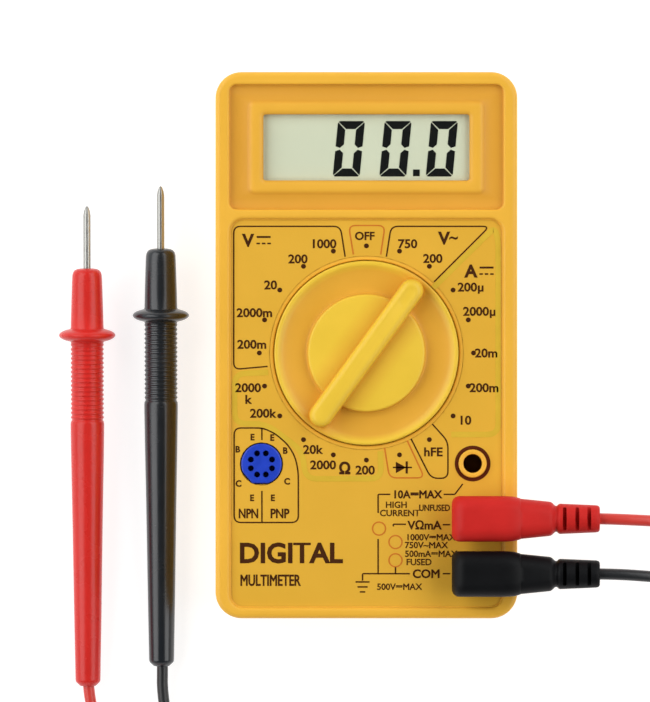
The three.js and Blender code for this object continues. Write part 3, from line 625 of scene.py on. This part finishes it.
def handle_profile():
    """(radius, distance along the probe) of the tail, ribbed grip, finger flange and head."""
    tail, end, head, bore = PROBE.tail, PROBE.grip_end, PROBE.head, CORD.bore
    ribs = []
    for i in range(GRIP.ribs):
        start = end + GRIP.pitch * i
        ribs += [(3.6, start), (3.6, start + 0.3), (3.72, start + 0.42), (3.82, start + 0.6)]
        ribs += [(3.82, start + 0.8), (3.74, start + 0.95)]
    slope = [(6.45, 0.3), (6.15, 0.64), (5.6, 0.97), (4.9, 1.22), (4.2, 1.4)]
    return [
        (bore, tail + CORD_GRIP + 1), (bore, tail + 0.3), (bore + 0.3, tail), (1.85, tail + 0.05),
        (2.7, tail + 0.85), (2.84, tail + 1.1), (2.9, tail + 1.5), (3.15, tail + 15), (3.48, tail + 36),
        (3.78, tail + 52), (3.88, end - 3), (3.9, end - 0.9), (3.85, end - 0.45), (3.7, end - 0.1), *ribs,
        (3.8, -1.62), (3.9, -1.5), *[(r, -z) for r, z in reversed(slope)], (PROBE.flange, 0), *slope,
        (3.9, 1.52), (3.8, 1.75), (3.7, 6), (3.5, head - 3), (3.42, head - 1.6), (3.25, head - 0.95),
        (2.9, head - 0.45), (2.3, head - 0.15), (1.4, head), (1.0, head), (0.95, head - 0.2),
        (0.95, head - 5), (0.05, head - 5),
    ]


def needle_profile():
    """(radius, distance along the probe) of the needle, from inside the head to its point."""
    foot, tip = PROBE.head - 4.8, PROBE.tip
    return [(0, foot), (0.85, foot), (0.85, tip - 2.2), (0.7, tip - 1.2), (0.4, tip - 0.35), (0.12, tip)]


def make_probe(colour, lead):
    upright = Matrix.Rotation(radians(-90), 4, "X")
    to_metres, to_millimetres = (Matrix.Diagonal((f, f, f, 1)) for f in (MM, 1 / MM))
    stand = to_metres @ probe_place(*lead["probe"]) @ upright @ to_millimetres
    grip = Sketch()
    grip.tube(lathe(handle_profile(), 48))
    slot = f"{colour}_lead_plastic"
    handle = make_piece(grip, f"{colour}_handle", "case", slot, [f"{colour}_probe_handle"], place=stand)
    needle = Sketch()
    needle.tube(lathe(needle_profile(), 32))
    stands_for = [f"{colour}_probe_needle"]
    pin = make_piece(needle, f"{colour}_needle", "case", "plated_pin", stands_for, place=stand)
    return [handle, pin]


def strap_outline(places, radius, directions=48):
    """The tight closed line round equal circles at the given places."""
    outline = []
    for i in range(directions):
        a = 2 * pi * i / directions
        way = Vector((cos(a), sin(a)))
        furthest = max((Vector(p) for p in places), key=lambda p: p.dot(way))
        outline.append(furthest + radius * way)
    return outline


def make_tie(colour, lead):
    """A strap pulled tight round the coil's turns at its far left."""
    x, y = lead["coil"]
    left = x - lead["coil_radius"]
    full_turns = lead["turns"][:-1]
    places = [(left + COIL.pitch * ring, COIL.layers[layer]) for ring, layer in full_turns]
    inside = CORD.radius + TIE.gap
    outside = inside + TIE.thick
    half, soft = TIE.half, TIE.round
    sections = [(-half, outside - soft), (soft - half, outside), (half - soft, outside)]
    sections += [(half, outside - soft), (half, inside), (-half, inside)]
    sketch = Sketch()
    rings = []
    for along, radius in sections:
        rings.append([(p.x, y + along, p.y) for p in strap_outline(places, radius)])
    made = sketch.loft(rings)
    sketch.band(made[-1], made[0])
    return make_piece(sketch, f"{colour}_tie", "case", "black_plastic", [f"{colour}_coil_tie"])


# ---- Case ----
def case_ring(inset, z):
    corner = max(CASE.corner - inset, 0.4)
    return rounded(CASE.width - 2 * inset, CASE.length - 2 * inset, corner, z, steps=12)


def recess_ring(recess, grow, z):
    width, length = recess.width + 2 * grow, recess.length + 2 * grow
    corner = max(recess.corner + grow, 0.2)
    return rounded(width, length, corner, z, y=recess.y, steps=12)


def recess_walls(sketch, recess, edge, walls):
    """A recess from its rounded edge at the top of the case down to its floor."""
    top = [(inward, CASE.top - down) for inward, down in round_edge(edge)]
    return sketch.loft([recess_ring(recess, grow, z) for grow, z in [*top, *walls]])


def window_frame(sketch):
    """The raised frame in the display recess, over its lip and down into the window."""
    floor, lip, under = DISPLAY.floor, FRAME.top, CASE.under_panel
    slopes = [(0.5, floor), (0.25, floor + 0.12), (-0.15, lip - 0.22), (-0.5, lip - 0.06), (-1.0, lip)]
    into_window = [(1.3, lip), (0.8, lip - 0.05), (0.3, lip - 0.25), (0.05, lip - 0.5), (0, lip - 0.7)]
    rings = [recess_ring(FRAME, grow, z) for grow, z in slopes]
    rings += [recess_ring(WINDOW, grow, z) for grow, z in [*into_window, (0, under)]]
    return sketch.loft(rings)


def panel_holes(sketch):
    """The holes in the label recess: the knob's opening, the socket's hole and the jacks' collars."""
    level, floor, under = LABEL.top, LABEL.floor, CASE.under_panel
    opening, gap = KNOB.opening, SOCKET.gap
    around_knob = [(opening + 0.85, floor), (opening + 0.85, level - 0.06), (opening + 0.2, level - 0.06)]
    around_knob += [(opening, level - 0.25), (opening, under)]
    knob_hole = sketch.loft(lathe(around_knob, 128, 0, KNOB.y))
    socket_walls = [(gap, floor), (gap - 0.1, floor - 0.1), (gap - 0.1, under)]
    socket_hole = sketch.loft([socket_ring(grow, z) for grow, z in socket_walls])
    collar, bore, high = JACK.collar, JACK.bore, JACK.top
    lip = [(collar + 0.15, floor), (collar, floor + 0.15)]
    lip += arc((collar, high - 0.25), (collar - 0.25, high), 4)
    lip += [(bore + 0.35, high), (bore + 0.1, high - 0.1), (bore, high - 0.35), (bore, under)]
    collars = [sketch.loft(lathe(lip, 64, JACK.x, y)) for y in JACK.rows]
    return [knob_hole, socket_hole, *collars]


def front_case():
    """The front shell: outer wall, crowned rim, display recess and window, label recess, jack collars."""
    sketch = Sketch()
    split, wall = CASE.split, CASE.wall
    outside = [(0.3, split + 0.15), (0.08, split + 0.25), (0, split + 0.5), (0, 18)]
    outside += arc((0, CASE.top - CASE.crown), (CASE.crown, CASE.top), 7)
    outer = sketch.loft([case_ring(inset, z) for inset, z in outside])
    inside = [(0.3, split + 0.15), (0.75, split + 0.15), (0.75, split + 2), (wall, split + 2)]
    inner = sketch.loft([case_ring(inset, z) for inset, z in [*inside, (wall, CASE.under_panel)]])
    floor, level = DISPLAY.floor, LABEL.top
    display_walls = [(0, floor + 0.25), (-0.08, floor + 0.07), (-0.3, floor)]
    label_walls = [(0, level + 0.15), (-0.06, level + 0.02), (-0.27, level - 0.04), (-0.27, LABEL.floor)]
    display = recess_walls(sketch, DISPLAY, 0.5, display_walls)
    label = recess_walls(sketch, LABEL, 0.8, label_walls)
    sketch.fill(outer[-1], display[0], label[0])
    frame_made = window_frame(sketch)
    sketch.fill(display[-1], frame_made[0])
    holes = panel_holes(sketch)
    sketch.fill(label[-1], *[rings[0] for rings in holes])
    sketch.fill(inner[-1], frame_made[-1], *[rings[-1] for rings in holes])
    make_piece(sketch, "front_shell", "case", "shell_plastic", ["front_case"])


def rear_case():
    """The back shell: rounded foot, locating lip, a shallow field and two deep screw pockets."""
    sketch = Sketch()
    split, wall = CASE.split, CASE.wall
    outside = round_edge(CASE.foot)
    outside += [(0, 6), (0, split - 0.5), (0.08, split - 0.25), (0.3, split - 0.15), (1.05, split - 0.15)]
    outside += [(1.05, split + 1.55), (wall, split + 1.55), (wall, wall)]
    made = sketch.loft([case_ring(inset, z) for inset, z in outside])
    head, shank, around, ledge, top = BOSS.head, BOSS.shank, BOSS.outside, BOSS.ledge, BOSS.top
    pocket = [(head + 0.3, 0), (head + 0.08, 0.1), (head, 0.35), (head, ledge), (shank, ledge)]
    pocket += [(shank, top), (around - 0.2, top), (around, top - 0.2), (around, wall)]
    pockets = [sketch.loft(lathe(pocket, 48, x, y)) for x, y in POSTS]
    field_walls = [(0.2, 0), (0.05, 0.06), (0, 0.2), (-0.15, 0.4)]
    sunk = sketch.loft([recess_ring(BACK_FIELD, grow, z) for grow, z in field_walls])
    sketch.fill(made[0], sunk[0], *[rings[0] for rings in pockets])
    sketch.fill(sunk[-1])
    sketch.fill(made[-1], *[rings[-1] for rings in pockets])
    make_piece(sketch, "rear_shell", "case", "shell_plastic", ["rear_case"])


# ---- Selector knob ----
def knob_profile():
    """(radius, height) of the knob: stub and flange under the panel, rim, dish and hub over it."""
    radius, flange, dish, rim, hub = KNOB.radius, KNOB.flange, KNOB_Z.dish, KNOB_Z.rim, KNOB_Z.hub
    bottom, top = KNOB_Z.bottom, KNOB_Z.flange
    return [
        (0, KNOB_Z.stub), (2, KNOB_Z.stub), (2, bottom), (flange - 0.2, bottom), (flange, bottom + 0.2),
        (flange, top - 0.2), (flange - 0.2, top), (radius, top),
        *arc((radius, rim - 0.4), (radius - 0.4, rim)),
        (radius - 0.8, rim - 0.03), (radius - 1.15, rim - 0.2), (radius - 1.5, rim - 0.5),
        (19.0, dish + 0.38), (18, dish + 0.2), (16.5, dish + 0.05), (15, dish), (14.0, dish + 0.02),
        (13.8, dish + 0.1), (13.7, dish + 0.3), (13.5, hub - 0.4), (13.42, hub - 0.17), (13.25, hub - 0.05),
        (12.9, hub), (6, hub + 0.12), (0, hub + 0.15),
    ]


def knob_bar():
    """The bar across the knob, as rounded sections (growth, height) with a rounded top edge."""
    top, half = KNOB_Z.bar, BAR.width / 2
    sides = [(0.3, KNOB_Z.dish - 1), (0.15, KNOB_Z.hub + 0.3)]
    sides += arc((0, top - 1.5), (-1.5, top - 0.06), 8)
    bar = Sketch()
    rings = []
    for grow, z in [*sides, (-2.2, top)]:
        rings.append(rounded(2 * (half + grow), BAR.length + 2 * grow, half + grow - 0.02, z, steps=10))
    bar.tube(rings)
    return bar


def pointer_pocket():
    """The soft shallow pocket near the end of the bar that points."""
    top = KNOB_Z.bar
    pocket = Sketch()
    rings = []
    for half, z in ((0.7, top - 0.2), (1.1, top - 0.12), (1.5, top + 0.02), (1.75, top + 0.5)):
        rings.append(rounded(2 * half, BAR.pocket_length + 2 * half, half - 0.02, z, y=BAR.pocket_y))
    pocket.tube(rings)
    return pocket


def detent_bore(side):
    """The blind hole in the flange that holds one detent ball and its spring."""
    bore = Sketch()
    ring = circle(BORE.radius, 0, sides=24)
    reaches = (BORE.start, BORE.end)
    bore.tube([[(side * reach, a, BORE.z + b) for a, b, _ in ring] for reach in reaches])
    return bore


def knob():
    """A dished disc with a raised hub and a bar across it, which points at the chosen range."""
    disc = Sketch()
    disc.tube(lathe(knob_profile(), 128))
    cutters = [(knob_bar(), "UNION"), (pointer_pocket(), "DIFFERENCE")]
    cutters += [(detent_bore(side), "DIFFERENCE") for side in (-1, 1)]
    pointing = Matrix.Rotation(radians(KNOB.pointing), 4, "Z")
    turn = Matrix.Translation((0, KNOB.y * MM, 0)) @ pointing
    make_piece(
        disc, "range_knob", "knob", "knob_plastic", ["selector_knob"], crease=38, cutters=cutters, place=turn
    )


# ---- Transistor socket ----
def socket_ring(grow, z):
    """A circle with a flat near side and a chamfer next to it, which keys the socket."""
    flat, chamfer, key = SOCKET.flat, SOCKET.chamfer, SOCKET.key
    chamfer_angle = radians(220.6)
    points = []
    for i in range(96):
        a = 2 * pi * i / 96
        keyed = chamfer_angle < a < 1.5 * pi
        radius = (key if keyed else SOCKET.radius) + grow
        if sin(a) < 0:
            radius = min(radius, (flat + grow) / -sin(a))
        if cos(a - chamfer_angle) > 0:
            radius = min(radius, (chamfer + grow) / cos(a - chamfer_angle))
        points.append((SOCKET.x + radius * cos(a), SOCKET.y + radius * sin(a), z))
    return points


def transistor_socket():
    sketch = Sketch()
    top, low, count = SOCKET.high, SOCKET.low, SOCKET.holes
    sides = [(-0.2, low), (0, low + 0.2), (0, top - 0.3), (-0.07, top - 0.13), (-0.18, top - 0.03)]
    made = sketch.loft([socket_ring(grow, z) for grow, z in [*sides, (-0.35, top)]])
    radius = SOCKET.hole
    profile = [(radius + 0.1, top), (radius, top - 0.12), (radius, low + 1)]
    holes = []
    for x, y, _ in circle(SOCKET.circle, 0, SOCKET.x, SOCKET.y, 2 * count)[1::2]:
        holes.append(sketch.loft(lathe(profile, 24, x, y)))
        sketch.fill(holes[-1][-1])
    sketch.fill(made[-1], *[rings[0] for rings in holes])
    sketch.fill(made[0])
    make_piece(sketch, "round_socket", "case", "blue_plastic", ["transistor_socket"])


# ---- Display reading ----
DIGIT = Sizes(width=6.2, height=12.8, stroke=1.85, gap=0.2, slant=radians(5.5))
READING = Sizes(centres=(-4.05, 6.7, 17.4), y=45.3, point=(11.53, 39.75), point_size=1.55, ink=0.05)


def bar_shapes():
    """The six lit bars of a nought, as corner lists about the digit's centre."""
    w, h, t, g = DIGIT.width / 2, DIGIT.height / 2, DIGIT.stroke, DIGIT.gap
    level = [(-w + g + 0.25, h), (w - g - 0.25, h), (w - g, h - 0.2)]
    level += [(w - t - g, h - t), (-w + t + g, h - t), (-w + g, h - 0.2)]
    upright = [(-w, h - g - 0.35), (-w + 0.15, h - g - 0.15), (-w + t, h - t - g)]
    upright += [(-w + t, t * 0.55), (-w + t * 0.55, g), (-w, t * 0.3)]
    shapes = []
    for sy in (1, -1):
        shapes.append([(x, sy * y) for x, y in level])
        for sx in (1, -1):
            shapes.append([(sx * x, sy * y) for x, y in upright])
    return shapes


def prism(sketch, corners, low, high):
    sketch.tube([[(x, y, z) for x, y in corners] for z in (low, high)])


def reading():
    sketch = Sketch()
    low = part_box("lcd_glass")[1].z / MM + 0.01
    high = low + READING.ink
    lean = tan(DIGIT.slant)
    for centre in READING.centres:
        for shape in bar_shapes():
            prism(sketch, [(centre + x + y * lean, READING.y + y) for x, y in shape], low, high)
    x, y = READING.point
    half = READING.point_size / 2
    corners = [(x - half, y - half), (x + half, y - half), (x + half, y + half), (x - half, y + half)]
    prism(sketch, corners, low, high)
    make_print(sketch, "display_digits", "lcd_ink")


# ---- Printing on the face ----
INK = Sizes(low=LABEL.top + 0.008, high=LABEL.top + 0.045)


def make_print(sketch, name, ink):
    """A print; an ink has no slot of its own, so it takes the slot of what it is printed on."""
    piece = make_piece(sketch, name, "case", "lcd" if ink == "lcd_ink" else "label_film")
    piece.data.materials[0] = MATERIALS[ink]
    return piece


def soften(points, radius, steps=5):
    """A polyline with its inner corners rounded."""
    points = [Vector(p) for p in points]
    line = [points[0]]
    for before, corner, after in zip(points, points[1:], points[2:]):
        reach = min(radius, (before - corner).length * 0.45, (after - corner).length * 0.45)
        start = corner + (before - corner).normalized() * reach
        end = corner + (after - corner).normalized() * reach
        for i in range(steps + 1):
            t = i / steps
            line.append((1 - t) ** 2 * start + 2 * t * (1 - t) * corner + t * t * end)
    return [*line, points[-1]]


def stroke(sketch, points, width=0.32, radius=1.6):
    """A printed line of one width."""
    line = soften(points, radius) if len(points) > 2 else [Vector(p) for p in points]
    rings = []
    for i, point in enumerate(line):
        ahead = heading(line, i)
        side = Vector((-ahead.y, ahead.x)) * width / 2
        corners = ((side, INK.low), (-side, INK.low), (-side, INK.high), (side, INK.high))
        rings.append([(point.x + s.x, point.y + s.y, z) for s, z in corners])
    made = sketch.loft(rings)
    for end in (made[0], made[-1]):
        sketch.faces.append(tuple(end))


def printed_ring(sketch, x, y, inner, outer):
    profile = [(inner, INK.low), (outer, INK.low), (outer, INK.high), (inner, INK.high)]
    made = sketch.loft(lathe(profile, 64, x, y))
    sketch.band(made[-1], made[0])


def dot(sketch, x, y, radius):
    sketch.tube([circle(radius, z, x, y, 20) for z in (INK.low, INK.high)])


def lettering(sketch, words):
    """Raised text: each word is (text, x, y, capital height, weight, width)."""
    capital = 0.691
    for text, x, y, height, weight, width in words:
        curve = bpy.data.curves.new("word", "FONT")
        curve.body = text
        curve.size = height / capital
        curve.align_x = "CENTER"
        curve.resolution_u = 3
        curve.fill_mode = "FRONT"
        word = bpy.data.objects.new("word", curve)
        bpy.context.scene.collection.objects.link(word)
        bpy.context.view_layer.update()
        flat = bpy.data.meshes.new_from_object(word.evaluated_get(bpy.context.evaluated_depsgraph_get()))
        stand_up(sketch, flat, x, y - height / 2, width, weight)
        bpy.data.objects.remove(word)


def outward(vertex, weight):
    """How far a corner of a flat letter moves when its outline grows by the weight."""
    normals = []
    for edge in vertex.link_edges:
        if len(edge.link_faces) == 1:
            inside = edge.link_faces[0].calc_center_median()
            along = edge.verts[1].co - edge.verts[0].co
            normal = Vector((-along.y, along.x, 0)).normalized()
            normals.append(-normal if normal.dot(inside - edge.verts[0].co) > 0 else normal)
    if len(normals) != 2:
        return Vector((0, 0, 0))
    shift = (normals[0] + normals[1]) / max(0.35, 1 + normals[0].dot(normals[1]))
    return weight * shift


def stand_up(sketch, flat, x, y, width, weight):
    """Adds a flat filled mesh to the sketch as a thin solid, its strokes thickened by the weight."""
    work = bmesh.new()
    work.from_mesh(flat)
    bmesh.ops.remove_doubles(work, verts=work.verts, dist=0.002)
    for vertex in work.verts:
        vertex.co.x *= width
    moves = [outward(vertex, weight) for vertex in work.verts]
    for vertex, move in zip(work.verts, moves):
        vertex.co += move
    work.verts.index_update()
    levels = []
    for z in (INK.low, INK.high):
        levels.append(sketch.ring([(x + v.co.x, y + v.co.y, z) for v in work.verts]))
    for face in work.faces:
        corners = [v.index for v in face.verts]
        sketch.faces.append(tuple(levels[1][i] for i in corners))
        sketch.faces.append(tuple(levels[0][i] for i in reversed(corners)))
    for edge in work.edges:
        if len(edge.link_faces) == 1:
            a, b = (v.index for v in edge.verts)
            sketch.faces.append((levels[0][a], levels[0][b], levels[1][b], levels[1][a]))
    work.free()


# A word is (text, x, y), in a style of (capital height, weight, width). A title has a style of its own.
THIN, BOLD, HEAVY = 0.04, 0.075, 0.15
RANGE_STYLE = (1.95, BOLD, 1.06)
LEAD_STYLE = (1.4, BOLD, 0.95)
SMALL_STYLE = (1.42, THIN, 1.0)
RANGES = [
    ("1000", -9.9, 23.4), ("200", -15.8, 19.9), ("20", -22.1, 13.9), ("2000m", -25.8, 7.5),
    ("200m", -26.4, 0.2), ("2000", -27.3, -9.8), ("k", -27.3, -12.5), ("200k", -23.9, -15.7),
    ("20k", -12.4, -24.05), ("2000", -10, -27.6), ("200", -0.3, -28.8), ("750", 9.5, 23.4),
    ("200", 15.3, 20), ("200\u00b5", 24.1, 13.4), ("2000\u00b5", 26.1, 7.8), ("20m", 27.65, -1.8),
    ("200m", 27.15, -9.8), ("10", 22.7, -17.3), ("hFE", 15.4, -24.6),
]
LEAD_LETTERS = [
    ("E", -26.3, -21.2), ("E", -21.75, -21.3), ("B", -29.7, -24), ("B", -18.75, -24.3),
    ("C", -29.5, -31.9), ("C", -18.3, -31.4), ("E", -26.4, -35.2), ("E", -21.6, -35.2),
]
TITLES = [
    ("V", -27.3, 24.2, 2.75, HEAVY, 1), ("V", 17.9, 24.7, 2.75, HEAVY, 1),
    ("~", 20.1, 25, 2.6, BOLD, 0.9), ("A", 24.1, 17.1, 2.75, HEAVY, 1),
    ("\u03a9", -5, -28.4, 2.5, HEAVY, 0.97), ("OFF", -0.4, 25.2, 1.8, BOLD, 1),
    ("NPN", -27.2, -38.8, 2.1, BOLD, 0.74), ("PNP", -20, -38.8, 2.1, BOLD, 0.8),
    ("10A\u2393MAX", 11.7, -34.4, 1.75, BOLD, 0.97), ("V\u03a9mA", 13.4, -41.5, 1.9, BOLD, 1),
    ("COM", 13.8, -52.7, 1.9, BOLD, 1), ("DIGITAL", -17.5, -47.9, 4.4, 0.2, 1),
    ("MULTIMETER", -22.2, -54.2, 2.5, BOLD, 0.66), ("UNFUSED", 15.7, -37.5, 1.42, THIN, 0.8),
]
SMALL_PRINT = [
    ("HIGH", 6.9, -36.8), ("CURRENT", 7.7, -38.7), ("1000V\u2393MAX", 14.8, -44.3),
    ("750V~MAX", 13.8, -46.1), ("500mA\u2393MAX", 14.9, -48.1), ("FUSED", 12.1, -50),
    ("500V\u2393MAX", 7.6, -55.7),
]
DARK_LINES = [
    [(-4.9, 20.4), (-6, 27.4), (-30.6, 27.4), (-30.6, -5.6), (-22.8, -4.9)],
    [(4.6, 20.4), (5.7, 27.4), (28.4, 27.4), (15.6, 14.6)],
    [(10.3, -21.6), (14.9, -30.7), (18.8, -30.7), (18.8, -22.2), (15.2, -18.2)],
    [(17.6, -41.4), (19.3, -41.4)],
    [(2.7, -44.7), (2.7, -52.7)],
    [(6.7, -51.2), (6.7, -52.7)],
    [(17.6, -52.7), (19.3, -52.7)],
]
SHARP_LINES = [
    [(2.7, -38.7), (2.7, -34.4), (5.5, -34.4)],
    [(17.8, -34.4), (20.4, -34.4), (22.2, -32)],
    [(6.2, -41.8), (6.2, -41.3), (9.1, -41.3)],
    [(-0.9, -54.3), (-0.9, -52.7), (10, -52.7)],
]
SOCKET_OUTLINE = [
    (-27, -19.1), (-23.9, -19.1), (-21.2, -20.3), (-18.2, -22.8), (-16.4, -25.8), (-15.7, -29.3),
    (-15.7, -40.9), (-30.5, -40.9), (-30.5, -19.1), (-27, -19.1),
]
ORANGE_LINES = [
    [(-3, 20.9), (-4.1, 27.6), (4.3, 27.6), (3.3, 20.9)],
    [(4.2, -23.7), (5.3, -30.6), (13.4, -30.6), (9.4, -22)],
]
LIME_LINES = [
    [(15.4, 13.2), (29.6, 27.2), (30.4, 24), (30.4, -20.6), (19.6, -20.6)],
    [
        (-22.6, -6.3), (-30.4, -6.6), (-30.4, -18), (-23, -18.2), (-14.8, -24.4), (-14, -30.8),
        (3.4, -30.8), (3.2, -24.4),
    ],
]
DOTS = Sizes(count=20, circle=24.7, radius=0.56)
GLOW = Sizes(width=1.3, corner=2.5)
SYMBOL_RING = (1.35, 1.65)
JACK_RING = (3.3, 4.13)
SYMBOL_RINGS = [(2.9, -42.3), (6.7, -45.4), (6.7, -49.6)]


def direct_sign(sketch, x, y, length=3.2):
    """The direct-current sign: a line over three dashes."""
    stroke(sketch, [(x - length / 2, y + 0.75), (x + length / 2, y + 0.75)], 0.45)
    for i in (-1, 0, 1):
        stroke(sketch, [(x + i * 1.25 - 0.4, y - 0.75), (x + i * 1.25 + 0.4, y - 0.75)], 0.36)


def diode_sign(sketch, x, y):
    stroke(sketch, [(x - 2.2, y), (x + 2.2, y)], 0.34)
    stroke(sketch, [(x + 1.0, y - 1.4), (x + 1.0, y + 1.4)], 0.5)
    prism(sketch, [(x - 1.5, y - 1.3), (x + 0.9, y), (x - 1.5, y + 1.3)], INK.low, INK.high)


def ground_sign(sketch, x, y):
    for i, width in enumerate((3.2, 2.3, 1.25)):
        stroke(sketch, [(x - width / 2, y - 1.15 * i), (x + width / 2, y - 1.15 * i)], 0.34)


def face_printing():
    dark, orange, lime = Sketch(), Sketch(), Sketch()
    words = [(*word, *RANGE_STYLE) for word in RANGES]
    words += [(*word, *LEAD_STYLE) for word in LEAD_LETTERS]
    words += [(*word, *SMALL_STYLE) for word in SMALL_PRINT]
    lettering(dark, words + TITLES)
    for line in DARK_LINES:
        stroke(dark, line)
    for line in SHARP_LINES:
        stroke(dark, line, radius=0.3)
    stroke(dark, SOCKET_OUTLINE)
    for start, end in ((-19.1, -21.9), (-33.6, -40.9)):
        stroke(dark, [(-24.1, start), (-24.1, end)])
    direct_sign(dark, -23.7, 24.2)
    direct_sign(dark, 27.7, 17.15)
    diode_sign(dark, 8.3, -28.2)
    ground_sign(dark, -0.9, -54.6)
    for i in range(DOTS.count):
        a = radians(90 + 360 / DOTS.count * i)
        dot(dark, DOTS.circle * cos(a), KNOB.y + DOTS.circle * sin(a), DOTS.radius)
    for line in ORANGE_LINES:
        stroke(orange, line)
    for x, y in SYMBOL_RINGS:
        printed_ring(orange, x, y, *SYMBOL_RING)
    for line in LIME_LINES:
        stroke(lime, line, GLOW.width, GLOW.corner)
    ring = Sketch()
    printed_ring(ring, JACK.x, JACK.rows[0], *JACK_RING)
    make_print(dark, "face_print_dark", "dark_print")
    make_print(ring, "jack_ring", "maroon_print")
    make_print(orange, "face_print_orange", "orange_print")
    make_print(lime, "face_print_lime", "lime_print")


# ---- CAD nodes that stay ----
def dress_frame():
    """Every CAD node takes its slot's material, as the record names it."""
    for part in frame["record"]["subparts"]:
        mesh = frame["nodes"][part["node"]].data
        mesh.materials.clear()
        mesh.materials.append(MATERIALS[part["material_slot"]])


# ---- Studio ----
STUDIO = Sizes(floor_half=4000, floor_below=0.05, paper=0.4, paper_glow=0.82, aim=(0, -0.02, 0))
# Each soft box: its place in metres, its width and length, and its radiance.
SOFT_BOXES = {
    "left_box": ((-0.86, 0.2, 0.72), 0.9, 1.8, 2.6),
    "right_box": ((0.76, 0.2, 0.81), 0.8, 1.8, 2.4),
}


def soft_box(name, place, width, length, radiance):
    data = bpy.data.lights.new(name, "AREA")
    data.shape = "RECTANGLE"
    data.size, data.size_y = length, width
    data.energy = radiance * pi * width * length
    box = put_in_scene(name, data)
    box.location = place
    box.rotation_euler = (Vector(STUDIO.aim) - Vector(place)).to_track_quat("-Z", "Y").to_euler()
    box.visible_camera = False


def paper_floor():
    """Pale paper with a faint glow of its own, which keeps the soft shadows light."""
    sketch = Sketch()
    side, floor_z = STUDIO.floor_half, cad_box[0].z / MM - STUDIO.floor_below
    corners = [(x * side, y * side, floor_z) for x, y in ((-1, -1), (1, -1), (1, 1), (-1, 1))]
    sketch.faces.append(tuple(sketch.ring(corners)))
    mesh = sketch.mesh("floor")
    paper = finish("floor_paper", (STUDIO.paper,) * 3, 0.9, 0.01, 300, 2.0, 0.01, specular=0.0)
    shader = paper.node_tree.nodes["Principled BSDF"]
    set_inputs(shader, {"Emission Color": (1, 1, 1, 1), "Emission Strength": STUDIO.paper_glow})
    mesh.materials.append(paper)
    floor = put_in_scene("floor", mesh)


def sky():
    """A pale surround that is brighter near the horizon than overhead."""
    world = bpy.data.worlds.new("studio")
    bpy.context.scene.world = world
    world.use_nodes = True
    tree = world.node_tree
    direction = tree.nodes.new("ShaderNodeTexCoord")
    split = tree.nodes.new("ShaderNodeSeparateXYZ")
    tree.links.new(direction.outputs["Generated"], split.inputs["Vector"])
    light = remap(tree, split.outputs["Z"], 0.05, 0.6, 0.7, 0.04)
    background = tree.nodes["Background"]
    set_inputs(background, {"Color": (1, 1, 1, 1)})
    tree.links.new(light, background.inputs["Strength"])


def studio():
    paper_floor()
    for name, box in SOFT_BOXES.items():
        soft_box(name, *box)
    sky()
    bpy.context.scene.view_settings.view_transform = "Standard"


look_down()
dress_frame()
for colour, lead in LEADS.items():
    on_cord = [*make_plug(colour, lead), *make_probe(colour, lead), make_tie(colour, lead)]
    make_cord(colour, lead)
front_case()
rear_case()
knob()
transistor_socket()
reading()
face_printing()
studio()
